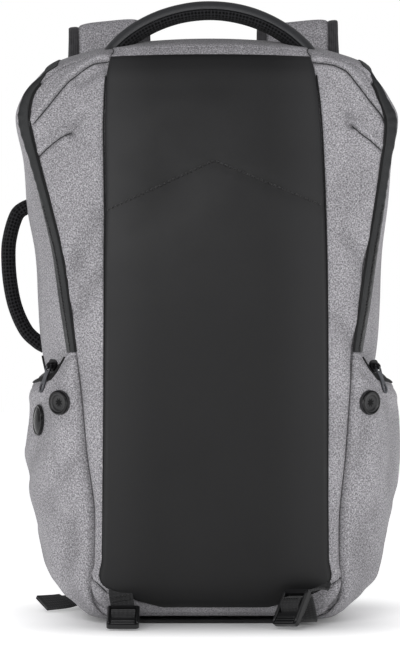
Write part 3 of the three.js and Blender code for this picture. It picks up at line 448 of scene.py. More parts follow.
# Soft folds of the front: a line seen from the front, how deep it is and how far it spreads.
FRONT_FOLDS = [
    ([(-0.1216, 0.4198), (-0.1162, 0.4297), (-0.1120, 0.4365)], 0.0034, 0.0038),
    ([(-0.1150, 0.4640), (-0.1043, 0.4703), (-0.0934, 0.4770)], 0.0036, 0.0048),
    ([(0.1195, 0.4260), (0.1172, 0.4293), (0.1181, 0.4372)], 0.0034, 0.0038),
    ([(-0.1180, 0.3080), (-0.1060, 0.3330), (-0.0980, 0.3500)], 0.0024, 0.0070),
    ([(-0.1160, 0.2650), (-0.1080, 0.2830), (-0.0960, 0.2980)], 0.0022, 0.0065),
    ([(0.1230, 0.2200), (0.1180, 0.2420), (0.1050, 0.2620)], 0.0024, 0.0070),
    ([(0.1330, 0.3000), (0.1240, 0.3200), (0.1120, 0.3330)], 0.0022, 0.0070),
]


def body_face():
    """The body's face from the panel's edge round to the back seam: the CAD's own surface with
    puffed padding, sunk seams with a rolled lip over each, and soft folds. Gives the points, their
    normals and the painted shade of each: darker in the seams, folds and creases, at the corners and
    edges, beside the pockets' front seams and on the top's middle."""
    heights = np.concatenate([np.linspace(0, 0.06, 16), np.linspace(0.06, 0.78, 76)[1:],
                              np.linspace(0.78, 1, 81)[1:]])
    acrosses = np.linspace(-1, 1, 61)
    left = np.stack([np.full(len(heights), -1.0), heights], -1)
    top = np.stack([acrosses[1:-1], np.ones(len(acrosses) - 2)], -1)
    around = np.concatenate([left, top, left[::-1] * (-1, 1), top[::-1] * (1, 0)])
    ring = np.concatenate([np.linspace(0, 1, 45), np.linspace(1, 2, 10)[1:], np.linspace(2, 4, 22)[1:]])
    points = body_point(around[:, 0], around[:, 1], ring[:, None])
    normal = normals_of(np.concatenate([points[:, -1:], points, points[:, :1]], 1))[:, 1:-1]
    normal = facing_out(normal, points)
    flat = points[..., [0, 2]]
    strip_wide, corner_wide = 0.05, 0.057
    seam_deep, seam_half = 0.0014, 0.0014
    panel_half = 0.086
    on_front = np.clip((1.35 - ring[:, None]) / 0.3, 0, 1)
    lift = np.zeros(points.shape[:2])
    sunk = np.zeros(points.shape[:2])
    for line in FRONT_SEAMS.values():
        apart = line_distance(flat, line)
        sunk = np.maximum(sunk, bell(apart, seam_half) * on_front)
        lip = np.where(apart > 0, 0.0014, 0.0003) * bell(abs(apart) - 0.004, 0.003)
        lift += lip * on_front
    fold_shade = np.zeros(points.shape[:2])
    for line, depth, spread in FRONT_FOLDS:
        apart = line_distance(flat, line)
        fold_shade += 0.3 * bell(apart, spread) * on_front
        lift += depth * (0.4 * bell(apart - 1.7 * spread, spread)
                         - bell(apart, spread)) * on_front
    edge = bell((ring[:, None] - 1) * corner_wide, 0.003) * on_front
    edge = edge + bell(ring[:, None] * strip_wide, 0.0025)
    sides = np.clip((np.abs(points[..., 0]) - panel_half) / 0.01, 0, 1)
    lift += 0.0022 * np.sin(np.pi * np.clip(ring[:, None], 0, 1)) * sides
    creases = 0.0007 * waves(points, (0.09, 0.055, 0.034), 4)
    lift += creases * np.clip(np.sin(np.pi * around[:, 1]) * 3, 0, 1)
    corner = bell(abs(around[:, 0]) - 1, 0.02) * (around[:, 1] > 0.999)
    corner = corner + bell(around[:, 1] - 1, 0.006) * (abs(around[:, 0]) > 0.999)
    corner = np.clip(corner, 0, 1) * np.clip((3 - ring[:, None]) / 0.5, 0, 1)
    lift -= seam_deep * sunk + 0.0008 * np.clip(edge, 0, 1) + 0.001 * corner
    lift = np.where(ring[:, None] > 3.9, 0, lift)
    # Painted shade: the top's middle under the handle, the hollows of folds and creases, the body beside the
    # pockets' front seams, the sunk seams, edges and corners are darkened.
    crest = 0.3 * (around[:, 1] > 0.999) * np.clip((0.075 - abs(points[..., 0])) / 0.02, 0, 1)
    beside = bell((ring[:, None] - 1) * corner_wide, 0.008) * np.clip((0.46 - around[:, 1]) / 0.02, 0, 1)
    fold_shade += 0.25 * np.clip(-creases / 0.0008, 0, 1) + 0.4 * beside
    dark = np.clip(0.8 * sunk + 0.35 * edge * sides + 0.4 * corner + crest + fold_shade, 0, 1)
    return points + normal * lift[..., None], normal, dark


def body_piece(face, normal, dark):
    """The body's cloth between its face and a grid one wall behind it, closed flat under the panel."""
    inside = face - normal * CLOTH_WALL
    inside[-1, :, 1] = BACK_SEAM
    rows, columns = face.shape[:2]
    along = lengths_of(face, 1)[rows // 2]
    places = np.stack([lengths_of(face, 0), np.broadcast_to(along, (rows, columns))], -1)
    faces = grid_faces(rows, columns, True)
    cap = np.arange(columns)
    far = rows * columns
    rim = np.stack([cap + far - columns, np.roll(cap, -1) + far - columns,
                    np.roll(cap, -1) + 2 * far - columns, cap + 2 * far - columns], -1)
    every = [*faces.tolist(), *(faces[:, ::-1] + far).tolist(), *rim.tolist(),
             cap[::-1].tolist(), (cap + far).tolist()]
    return new_piece("body_shell_cloth", np.concatenate([face, inside]), every,
                     np.concatenate([places, places]), np.concatenate([dark, dark * 0]))


def sewn_in(piece, finish, node=None):
    """Gives a piece its finish, fixes it to the pack and hides the CAD node that it stands for."""
    piece.data.materials.append(finish)
    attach(piece, "pack")
    if node:
        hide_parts(node)


BODY_FACE, body_normal, body_painted_shade = body_face()
body_cloth = body_piece(BODY_FACE, body_normal, body_painted_shade)
sewn_in(body_cloth, GREY_CLOTH, "body_shell")


def in_between(at, keys, rows):
    """Rows of values read off at places between their keys, on straight lines."""
    return np.stack([np.interp(at, keys, rows[:, k]) for k in range(rows.shape[1])], -1)


def resampled(line, step, smooth=False):
    """A line of points cut into even steps of about the given length."""
    line = np.asarray(line, float)
    along = lengths_of(line, 0)
    count = max(2, int(round(along[-1] / step)) + 1)
    want = np.linspace(0, along[-1], count)
    if smooth:
        return smooth_rows(along, line, want)
    return in_between(want, along, line)


def cord_piece(name, line, radius, around=8):
    """A thin round cord along a line of points, closed and narrower at both ends. Its section is
    turned by the line's own direction and kept upright."""
    way = unit(np.gradient(line, axis=0))
    up = np.where(abs(way[:, 1:2]) > 0.9, (1.0, 0, 0), (0, 1.0, 0))
    side = unit(np.cross(way, up))
    up = np.cross(side, way)
    turn = np.linspace(0, 2 * np.pi, around, endpoint=False)
    ring = np.cos(turn)[None, :, None] * side[:, None] + np.sin(turn)[None, :, None] * up[:, None]
    size = np.full(len(line), radius)
    size[[0, -1]] *= 0.4
    points = line[:, None] + ring * size[:, None, None]
    along = np.broadcast_to(lengths_of(line[:, None], 0), points.shape[:2])
    places = np.stack([np.broadcast_to(turn * radius, points.shape[:2]), along], -1)
    return new_piece(name, points, tube_faces(len(line), around), places)


# Each seam shows as a thin dark line, where the two cut edges are sewn together under the lip: a thin dark
# cord in the groove is its painted shadow.
SEAM_SHADOW_CORD, seam_tree, seam_surface = bare_material("dark painted seam shadow", 0.9)
seam_shadow_grain = shade(seam_tree, "TexNoise", {"Scale": 1200.0}).outputs[0]
seam_shadow_tint = tones(seam_tree, seam_shadow_grain, "161617", "303032")
seam_tree.links.new(seam_shadow_tint.outputs[0], seam_surface.inputs["Base Color"])


def on_body(line):
    """Points of the body's face under a line seen from the front: the mean of the six nearest grid
    points' depths, each weighted by one over its distance squared."""
    grid = BODY_FACE[:50].reshape(-1, 3)
    apart = ((grid[None, :, [0, 2]] - line[:, None]) ** 2).sum(-1) + 1e-9
    near = np.argsort(apart, axis=1)[:, :6]
    weight = 1 / np.take_along_axis(apart, near, 1)
    depth = (grid[near, 1] * weight).sum(1) / weight.sum(1)
    return np.stack([line[:, 0], depth, line[:, 1]], -1)


seam_lines = {name: on_body(resampled(line, 0.0015, True)) for name, line in FRONT_SEAMS.items()}
SIDES = ((-1, "left"), (1, "right"))
for side, name in SIDES:
    crest = body_point(side * 1.0, 1.0, np.linspace(0, 2.6, 40))
    seam_lines[name + "_crest"] = crest - (0, 0.0004, -0.0002)
for name, line in seam_lines.items():
    seam = cord_piece("body_seam_shadow_" + name, line - (0, 0.0002, 0), 0.00042)
    sewn_in(seam, SEAM_SHADOW_CORD)


# At both low corners the gusset's cloth is turned under and meets the pocket's foot.
for side, name in SIDES:
    foot = np.array([(side * 0.103, -0.064, 0.021), (side * 0.096, -0.066, 0.0135),
                     (side * 0.089, -0.066, 0.009), (side * 0.079, -0.064, 0.0055)])
    turned_foot = cord_piece("body_turned_corner_" + name, resampled(foot, 0.001, True), 0.0032, 12)
    sewn_in(turned_foot, GREY_CLOTH)


# Base
# The flat underside: a dark coated cloth over a stiff board, sewn in round its rounded edge.
def coated_cloth(name, colour, roughness, grain):
    """Coated cloth: a thin film over a close weave, with a fine uneven grain and faint rubbed
    patches that shine a little more."""
    made, tree, surface = bare_material(name, roughness)
    body = own_place(tree)
    cloth = shade(tree, "UVMap", uv_map="cloth").outputs[0]
    rubbed = noise(tree, body, 14.0, 4.0, 0.6)
    fine = noise(tree, body, 900.0)
    tint = tones(tree, fine, times(colour, 0.82), times(colour, 1.2), 0.3, 0.7)
    cloudy = darker(tree, tint.outputs[0], rubbed, 0.16)
    # Painted shade: the cloth darkens in seams, slits and at rolled edges by the seam attribute.
    painted_seam_shade(tree, surface, cloudy, 0.75)
    gloss = shade(tree, "MapRange", {"Value": rubbed, "From Min": 0.3, "From Max": 0.7,
                                     "To Min": roughness - 0.07, "To Max": roughness + 0.07})
    tree.links.new(gloss.outputs[0], surface.inputs["Roughness"])
    warp = bands(tree, cloth, 420.0, "X")
    weft = bands(tree, cloth, 420.0, "Y")
    weave = shade(tree, "Math", {0: warp, 1: weft}, operation="ADD").outputs[0]
    relief = shade(tree, "Math", {0: weave, 1: fine}, operation="ADD").outputs[0]
    bumped(tree, surface, relief, grain, 0.0002)
    return made


DARK_COATED = coated_cloth("dark coated base cloth", "1c1c1d", 0.6, 0.3)


def closed_sheet(name, face, back, places, dark=None):
    """A closed cloth piece between two grids of points that share their edges' places: both faces and
    the edge round them."""
    rows, columns = face.shape[:2]
    faces = grid_faces(rows, columns)
    count = rows * columns
    ring = np.concatenate([np.arange(columns), np.arange(1, rows) * columns + columns - 1,
                           count - 2 - np.arange(columns - 1), np.arange(rows - 2, 0, -1) * columns])
    rim = np.stack([ring, ring + count, np.roll(ring, -1) + count, np.roll(ring, -1)], -1)
    every = np.concatenate([faces, faces[:, ::-1] + count, rim])
    points = np.concatenate([face.reshape(-1, 3), back.reshape(-1, 3)])
    corners = points[every]
    volume = np.einsum("ij,ij->", corners[:, 0], np.cross(corners[:, 1], corners[:, 2])) + np.einsum(
        "ij,ij->", corners[:, 0], np.cross(corners[:, 2], corners[:, 3]))
    if volume < 0:
        every = every[:, ::-1]
    shown = None if dark is None else np.concatenate([np.ravel(dark), np.ravel(dark)])
    return new_piece(name, points, every.tolist(), np.concatenate([places, places]), shown)


def declare_cut(piece):
    """Reads a piece's places on the flat cloth and the areas of its faces, and does nothing more with them."""
    places = np.empty(len(piece.data.loops) * 2)
    piece.data.uv_layers["cloth"].data.foreach_get("uv", places)
    areas = np.empty(len(piece.data.polygons))
    piece.data.polygons.foreach_get("area", areas)


def base_piece():
    """A rounded rectangle, slightly crowned in the middle of its upper face, whose lower face is flat
    on the ground."""
    u, v = np.meshgrid(np.linspace(-1, 1, 61), np.linspace(-1, 1, 47), indexing="ij")
    far = np.maximum(abs(u), abs(v))
    shrink = 1 / np.maximum((u ** 8 + v ** 8) ** 0.125, 1e-9) * far
    x, y = 0.0855 * u * shrink, 0.0625 * v * shrink
    edge = np.clip((1 - far) / 0.06, 0, 1)
    low = np.stack([x, y, 0.0006 * (1 - edge)], -1)
    high = np.stack([x, y, 0.0008 + 0.0015 * np.sqrt(edge)], -1)
    return closed_sheet("base_cloth", high, low, np.stack([x, y], -1))


base_cloth = base_piece()
sewn_in(base_cloth, DARK_COATED, "base_panel")


# Front panel
# One smooth matt black panel over the whole front, turned in at both sides over a thin cord, with
# a dotted stitch line that rises to a point in the middle. It hides the pack's openings.
BLACK_COATED = coated_cloth("smooth matt black coated cloth", "161617", 0.5, 0.12)
panel_tree = BLACK_COATED.node_tree
panel_surface = panel_tree.nodes["Principled BSDF"]
panel_surface.inputs["Specular IOR Level"].default_value = 0.3
# Painted light: the panel's colour is lightened towards both sides as a painted highlight and darkened
# towards the bottom as painted shade.
panel_place = shade(panel_tree, "SeparateXYZ", {0: own_place(panel_tree)})
panel_aside = shade(panel_tree, "Math", {0: panel_place.outputs["X"]}, operation="ABSOLUTE").outputs[0]
panel_side_highlight = shade(panel_tree, "MapRange", {"Value": panel_aside, "From Min": 0.045, "From Max": 0.096,
                                              "To Max": 0.75}, interpolation_type="SMOOTHSTEP").outputs[0]
panel_cloth_tint = panel_surface.inputs["Base Color"].links[0].from_socket
panel_highlighted = shade(panel_tree, "Mix", {0: panel_side_highlight, 6: panel_cloth_tint, 7: linear("2b2b2c")},
                   data_type="RGBA").outputs[2]
panel_low_shade = shade(panel_tree, "MapRange", {"Value": panel_place.outputs["Z"], "From Min": 0.42,
                                           "From Max": 0.02}).outputs[0]
panel_tree.links.new(darker(panel_tree, panel_highlighted, panel_low_shade, 0.5), panel_surface.inputs["Base Color"])


def panel_point(x, z):
    """A point of the front panel's outer face, from its place seen from the front."""
    height = np.clip((z - RING_BOTTOM[0]) / (RING_TOP[0] - RING_BOTTOM[0]), 0, 1)
    half = smooth_rows(BODY_KEYS, np.array(RING_SHARES[0]) * RING_HALF[0], height)
    shift = -0.005 * smooth_rows(BODY_KEYS, PANEL_SWAY, height)
    point = body_point(np.clip((x - shift) / half, -1, 1), height, 0.0)
    point[..., 1] -= 0.0032
    return point


def panel_piece():
    """The panel's face on the body's front, 3 mm proud, rolled over at its edges, with long shallow
    folds that run down it and a soft dip along the chevron seam."""
    heights = finer(BODY_KEYS, 8)
    across = np.sin(np.linspace(-1, 1, 91) * np.pi / 2) * 0.35 + np.linspace(-1, 1, 91) * 0.65
    seat = body_point(across[None], heights[:, None], 0.0)
    seat[..., 1] -= 0.0004
    gap = np.minimum((1 - abs(across))[None] * 0.094, 1)
    ends = np.minimum(heights, 1 - heights)[:, None] * 0.473
    roll = rolled(np.minimum(gap, ends), 0.0042)
    lines = abs(line_distance(seat[..., [0, 2]], CHEVRON))
    folds = 0.0005 * waves(seat * (1, 1, 0.25), (0.06, 0.035), 11) * np.clip(ends / 0.03, 0, 1)
    lift = 0.0007 + 0.0021 * roll + folds * roll - 0.0009 * bell(lines, 0.0022)
    face = seat - np.stack([0 * lift, lift, 0 * lift], -1)
    places = cut_places(seat)
    # Painted shade at the panel's edges, where it rolls down to the body, and in the chevron's dip.
    dark = np.clip(1 - roll * 1.3, 0, 1) * 0.8 + 0.45 * bell(lines, 0.0016)
    return closed_sheet("front_panel_cloth", face, seat, places, dark)


CHEVRON = [(-0.0910, 0.3525), (0.0009, 0.3954), (0.0941, 0.3567)]
panel_cloth = panel_piece()
sewn_in(panel_cloth, BLACK_COATED, "front_panel")
declare_cut(panel_cloth)


def stitches(name, line, out, length, gap, thick):
    """A row of stitches: each is a short thread that rises from the cloth, lies on it and dips back
    in, with a section of six sides. out is the cloth's normal at each point of the line."""
    along = lengths_of(line, 0)
    starts = np.arange(gap / 2, along[-1] - length, length + gap)
    shares = np.array([0, 0.12, 0.5, 0.88, 1])
    rise = np.array([-0.6, 0.15, 0.45, 0.15, -0.6]) * thick
    at = starts[:, None] + shares * length
    spot = in_between(at, along, line)
    normal = unit(in_between(at, along, out))
    way = unit(spot[:, -1:] - spot[:, :1])
    side = np.cross(way, normal)
    turn = np.linspace(0, 2 * np.pi, 6, endpoint=False)
    ring = (np.cos(turn)[:, None] * side[:, :, None] + 0.8 * np.sin(turn)[:, None] * normal[:, :, None])
    wide = np.array([0.5, 1, 1.1, 1, 0.5])[None, :, None, None] * thick / 2
    points = spot[:, :, None] + normal[:, :, None] * rise[None, :, None, None] + ring * wide
    base = grid_faces(5, 6, True)
    ends = np.array([[3, 2, 1, 0], [5, 4, 3, 0], [24, 25, 26, 27], [24, 27, 28, 29]])
    one = np.concatenate([base, ends])
    faces = (one[None] + 30 * np.arange(len(starts))[:, None, None]).reshape(-1, 4)
    places = np.broadcast_to(np.stack([turn * thick, turn * 0], -1), points.shape[:-1] + (2,))
    return new_piece(name, points, faces.tolist(), places)


def spun_thread(name, colour):
    """Polyester sewing thread, with its twist across the stitch."""
    made, tree, surface = bare_material(name, 0.6)
    body = own_place(tree)
    twist = bands(tree, body, 900.0, "DIAGONAL", Distortion=2.0)
    ramp = tones(tree, twist, times(colour, 0.6), times(colour, 1.25))
    tree.links.new(ramp.outputs[0], surface.inputs["Base Color"])
    surface.inputs["Sheen Weight"].default_value = 0.2
    return made


BLACK_THREAD = spun_thread("black sewing thread", "080809")

chevron_line = resampled(CHEVRON, 0.002)
chevron_on = panel_point(chevron_line[:, 0], chevron_line[:, 1])
chevron_stitch = stitches("front_panel_stitches", chevron_on - (0, 0.0005, 0),
                          np.broadcast_to((0, -1.0, 0), chevron_on.shape), 0.0026, 0.0015, 0.0013)
sewn_in(chevron_stitch, BLACK_THREAD)

# A narrow black gap runs beside the rolled edge, where the panel is sewn down: a thin black cord laid there
# is its painted shadow.
GAP_SHADE = coated_cloth("black painted gap shadow", "0a0a0b", 0.9, 0.1)
for side, name in SIDES:
    edge_line = body_point(side * 1.0, np.linspace(0.02, 0.965, 260), 0.018) - (0, 0.0004, 0)
    gap_shade_cord = cord_piece("front_panel_gap_shade_" + name, edge_line, 0.0007)
    sewn_in(gap_shade_cord, GAP_SHADE)


# Zip bands
# Dark coated bands that cover the main zip: they climb the edges of the front, turn over the
# shoulders and end at the back. A fold along each hides the zip's slit.
BAND_COATED = coated_cloth("dark grey coated band cloth", "292a2b", 0.52, 0.2)
BAND_COATED.node_tree.nodes["Principled BSDF"].inputs["Specular IOR Level"].default_value = 0.3
BAND_HEIGHT = [0.462, 0.5, 0.546, 0.637, 0.714, 0.795, 0.871, 0.911, 0.938, 0.954, 0.965, 0.972, 0.976]
BAND_INNER = [1, 1, 1, 1, 1, 1, 1, 1, 1, 1.15, 1.75, 2.5, 3.3]
BAND_OUTER = [2, 2, 2, 2, 2, 2, 2, 2, 2.15, 2.45, 3, 3.5, 3.95]
SLIT_ALONG = [0, 2, 4.3]
SLIT_SHARE = [0.36, 0.4, 0.36]


def band_place(side, along, share):
    """Points and normals on the body under a band: along runs up the band and share across it."""
    step = np.arange(len(BAND_HEIGHT))
    height = np.interp(along, step, BAND_HEIGHT)
    inner = np.interp(along, step, BAND_INNER)
    outer = np.interp(along, step, BAND_OUTER)
    return body_point(side, height, inner + (outer - inner) * share)


def band_out(side, along, share):
    """Outward unit normals of the body under a band, from short steps both ways."""
    rise = band_place(side, along + 0.01, share) - band_place(side, along - 0.01, share)
    over = band_place(side, along, share + 0.02) - band_place(side, along, share - 0.02)
    out = np.cross(over, rise)
    out *= -np.sign(out[..., 1:2])
    return unit(out)


def band_piece(side, name):
    """The band from edge to edge, 2 mm proud, with rolled edges and puckers. Its lower half has the
    zip's slit, a fold with a lip beside it."""
    along = np.linspace(0, len(BAND_HEIGHT) - 1, 241)[:, None]
    share = np.linspace(0, 1, 33)[None]
    seat = band_place(side, along, share)
    normal = facing_out(normals_of(seat), seat)
    width = lengths_of(seat, 1)
    edge = np.minimum(width, width[:, -1:] - width)
    roll = rolled(edge, 0.0028)
    low = np.clip((4.3 - along) / 1.2, 0, 1)
    middle = np.interp(along, SLIT_ALONG, SLIT_SHARE)
    slit = bell(share - middle, 0.08) * low
    lip = bell(share - middle + 0.16, 0.1) * low
    length = lengths_of(seat, 0)[:, 16:17]
    pucker = 0.0002 * np.sin(length * 2 * np.pi / 0.011 + 2 * np.sin(length * 90)) * edge / 0.006
    pucker = pucker * np.clip((8 - along) / 2, 0, 1)
    thin = 1 - 0.7 * np.clip((along - 8) / 1.5, 0, 1)
    lift = 0.0005 + (0.0014 * roll - 0.0012 * slit + 0.0006 * lip + pucker * roll) * thin
    face = seat + normal * lift[..., None]
    back = seat + normal * 0.0003
    places = np.stack([width, np.broadcast_to(length, width.shape)], -1).reshape(-1, 2)
    # Painted shade in the zip's slit and towards both rolled edges.
    dark = np.clip(slit + 0.8 * (1 - roll), 0, 1)
    return closed_sheet("zip_band_cloth_" + name, face, back, places, dark)


for side, name in SIDES:
    band = band_piece(side, name)
    sewn_in(band, BAND_COATED, "zip_band_" + name)
    declare_cut(band)
    # A thin black cord along the band's inner edge is the painted shadow of the gap there.
    rise = np.linspace(0.02, 8.2, 300)
    inner_line = band_place(side, rise, np.full(300, -0.015))
    edge_shade_cord = cord_piece("zip_band_edge_shade_" + name, inner_line - (0, 0.0005, 0), 0.0009)
    sewn_in(edge_shade_cord, GAP_SHADE)
    rise = np.linspace(0.05, 4.1, 200)
    middle = np.interp(rise, SLIT_ALONG, SLIT_SHARE)
    slit_out = band_out(side, rise, middle)
    teeth = stitches("zip_band_teeth_" + name, band_place(side, rise, middle) + slit_out * 0.0017, slit_out,
                     0.0024, 0.0008, 0.0013)
    sewn_in(teeth, BLACK_THREAD)


# Pockets
# Two bulging side pockets of the same grey cloth, cut full so that they swell and crease, sewn in
# at the front and rear seams and at the bottom. Their mouths slope to the rear and close with zips.
POCKET_KEYS = [0.013, 0.034, 0.072, 0.116, 0.161, 0.235, 0.335, 0.438, 0.505, 0.603, 0.691, 0.794,
               0.839, 0.88, 0.914, 0.948, 1]
POCKET_SHARES = [0.687, 0.722, 0.768, 0.83, 0.891, 0.923, 0.948, 0.977, 0.993, 1, 0.998, 0.988, 0.991,
                 0.965, 0.922, 0.879, 0.824]
MOUTH_KEYS = [0, 0.12, 0.2, 0.24, 0.27, 0.4, 0.55, 0.75, 1]
MOUTH_SHARES = [1, 0.994, 0.974, 0.948, 0.918, 0.899, 0.88, 0.863, 0.845]
POCKET_TOP = 0.233
POCKET_FOOT = 0.003
POCKET_HALF = 0.1627
POCKET_WALL = 0.002
EYELET_AT = (0.167, 0.1885)
SIDE_PORT_AT = (0.362, 0.1725)


def pocket_point(side, along, z):
    """Points of a pocket's outer face: along runs from the front seam, 0, to the rear one, 1. The
    section at each height is a quarter of an oval before the widest line and one behind it."""
    along, z = np.broadcast_arrays(along, z)
    share = (z - POCKET_FOOT) / (RING_TOP[3] - RING_BOTTOM[3])
    front = body_point(side * 1.0, share, 1.0)
    back = body_point(side * 1.0, share, 3.9)
    half = POCKET_HALF * smooth_rows(POCKET_KEYS, POCKET_SHARES, z / POCKET_TOP)
    ahead = along < 0.65
    turn = np.pi / 2 * np.where(ahead, along / 0.65, (1 - along) / 0.35)
    seam = abs(np.where(ahead, front[..., 0], back[..., 0]))
    x = seam + (np.maximum(half, seam) - seam) * np.sin(turn)
    y = 0.019 + (np.where(ahead, front[..., 1], 0.058) - 0.019) * np.cos(turn)
    return np.stack([side * x, y, z + 0 * x], -1)


def pocket_normal(side, along, z):
    """Outward unit normals of a pocket's face, from short steps both ways."""
    d = 1e-3
    a = pocket_point(side, along + d, z) - pocket_point(side, along - d, z)
    b = pocket_point(side, along, z + d) - pocket_point(side, along, z - d)
    return unit(np.cross(a, b) * side)


def pocket_piece(side, name):
    """The pocket's cloth: its face swells between the seams and has soft slanting creases that fan
    out from the sewn corners, and a second grid lies one wall behind it."""
    t = np.linspace(0, 1, 131)
    eased = t + 0.35 * (0.5 - 0.5 * np.cos(np.pi * t) - t)
    along = np.linspace(0, 1, 121)[None]
    top = POCKET_TOP * smooth_rows(MOUTH_KEYS, MOUTH_SHARES, along)
    z = POCKET_FOOT + (top - POCKET_FOOT) * eased[:, None]
    seat = pocket_point(side, along, z)
    normal = pocket_normal(side, np.clip(along, 0.002, 0.998), np.clip(z, 0.004, 0.232))
    front = np.clip(along / 0.07, 0, 1)
    ends = np.clip(np.minimum(along / 0.1, (1 - along) / 0.1), 0, 1) * np.clip((z - POCKET_FOOT) / 0.02, 0, 1)
    ends = ends * np.clip((top - z) / 0.014, 0, 1)
    flat = np.stack([lengths_of(seat, 1), z], -1)
    fan = np.arctan2(z - 0.262, flat[..., 0] + 0.03)
    creases = 0.0019 * np.sin(fan * 17 + 1.6 * np.sin(z * 55 + side)) * bell(z - 0.17, 0.07)
    low = np.arctan2(z + 0.05, flat[..., 0] + 0.02)
    creases += 0.0018 * np.sin(low * 15 + 1.3 * np.sin(z * 60)) * bell(z - 0.05, 0.05)
    creases += 0.001 * waves(seat, (0.07, 0.04, 0.024), 21 + side)
    hem = bell(top - z - 0.005, 0.0012)
    lift = 0.0012 * ends + creases * ends - 0.0007 * hem
    for at, wide in ((EYELET_AT, 0.012), (SIDE_PORT_AT, 0.015)):
        centre = pocket_point(side, *at)
        apart = np.linalg.norm(seat - centre, axis=-1) / wide
        lift = lift * np.clip((apart - 1) / 0.7, 0, 1) - 0.0003 * (apart < 1.2)
    face = seat + normal * lift[..., None]
    back = seat - normal * POCKET_WALL
    inner = face[..., 0] * side < back[..., 0] * side
    face[..., 0] = np.where(inner, back[..., 0] + side * 0.0004, face[..., 0])
    # Painted shade: darker along the front seam, under the mouth's hem, towards the foot and in the creases.
    dark = 0.9 * (1 - front) ** 1.5 + 0.5 * hem + 0.7 * np.exp(-(z - POCKET_FOOT) / 0.006)
    dark = dark + 0.4 * np.clip(-creases / 0.0025, 0, 1) * ends
    places = flat.reshape(-1, 2)
    return closed_sheet("pocket_cloth_" + name, face, back, places, np.clip(dark, 0, 1))


for side, name in SIDES:
    pocket = pocket_piece(side, name)
    sewn_in(pocket, GREY_CLOTH, "pocket_" + name)
    # A black sheet under each mouth is the painted shadow of the zip's gap.
    along = np.linspace(0.2, 0.6, 90)
    mouth = POCKET_TOP * smooth_rows(MOUTH_KEYS, MOUTH_SHARES, along)
    deep = np.interp(along, [0.2, 0.27, 0.6], [0.002, 0.0065, 0.0008])
    level = mouth[:, None] + 0.0004 - np.linspace(0, 1, 11)[None] * deep[:, None]
    mouth_shade_seat = pocket_point(side, along[:, None], level)
    mouth_shade_normal = pocket_normal(side, along[:, None], level)
    mouth_shade = closed_sheet("pocket_zip_mouth_shade_" + name, mouth_shade_seat + 0.0013 * mouth_shade_normal,
                          mouth_shade_seat - 0.0004 * mouth_shade_normal, cut_places(mouth_shade_seat))
    sewn_in(mouth_shade, GAP_SHADE)


# Each mouth has a zip: a dark woven tape sewn inside the pocket's edge and to the body's side, with
# a nylon coil along its middle.
WAVE_TURN = 0.314  # at scale 1 a wave texture's bands lie this far apart


def ribbed_webbing(name, colour, pitch, depth):
    """Woven narrow cloth with ribs across its length, pitch apart, and a slight sheen."""
    made, tree, surface = bare_material(name, 0.8)
    cloth = shade(tree, "UVMap", uv_map="cloth").outputs[0]
    body = own_place(tree)
    ribs = bands(tree, cloth, WAVE_TURN / pitch, "Y")
    cords = bands(tree, cloth, 0.2 / pitch, "X")
    weave = shade(tree, "Math", {0: ribs, 1: cords}, operation="MULTIPLY").outputs[0]
    worn = noise(tree, body, 300.0, 3.0)
    mixed = shade(tree, "Math", {0: weave, 1: worn}, operation="ADD").outputs[0]
    ramp = tones(tree, mixed, times(colour, 0.4), times(colour, 2.8), 0.35)
    tree.links.new(ramp.outputs[0], surface.inputs["Base Color"])
    bumped(tree, surface, mixed, depth, 0.0003)
    surface.inputs["Sheen Weight"].default_value = 0.15
    return made


ZIP_TAPE = ribbed_webbing("woven zip tape", "1d1d1f", 0.0012, 0.4)
COIL_NYLON, coil_tree, coil_surface = bare_material("black nylon zip coil", 0.35)
coil_grain = shade(coil_tree, "TexNoise", {"Scale": 500.0}).outputs[0]
coil_tint = tones(coil_tree, coil_grain, "0d0d0e", "242426")
coil_tree.links.new(coil_tint.outputs[0], coil_surface.inputs["Base Color"])


def zip_tape_grid(side, rows, columns):
    """The tape's outer face: it stands up from inside the pocket's edge against the body."""
    along = np.linspace(0.25, 0.96, rows)
    z = POCKET_TOP * smooth_rows(MOUTH_KEYS, MOUTH_SHARES, along) - 0.002
    edge = pocket_point(side, along, z) - 0.0024 * pocket_normal(side, along, z)
    share = np.linspace(0, 1, columns)[None, :, None]
    rise = np.interp(along, [0.25, 0.5, 0.96], [0.0115, 0.0085, 0.006])[:, None, None]
    return edge[:, None] + share * (rise * (0, 0, 1) - (side * 0.0035, 0, 0))


for side, name in SIDES:
    tape_out = np.array([side * 0.94, 0, 0.34])
    grid = zip_tape_grid(side, 140, 15)
    tape = closed_sheet("pocket_zip_tape_" + name, grid, grid - tape_out * 0.0012, cut_places(grid))
    sewn_in(tape, ZIP_TAPE, "pocket_zip_" + name)
    declare_cut(tape)
    middle = resampled(grid[:, 5] + tape_out * 0.0006, 0.00035)
    turns = np.arange(len(middle))[:, None] * (2 * np.pi / 4)
    swing = unit(np.cross(np.gradient(middle, axis=0), tape_out))
    coil_line = middle + 0.0013 * np.cos(turns) * swing + 0.0005 * np.sin(turns) * tape_out
    coil = cord_piece("pocket_zip_coil_" + name, coil_line, 0.00042, 5)
    sewn_in(coil, COIL_NYLON)


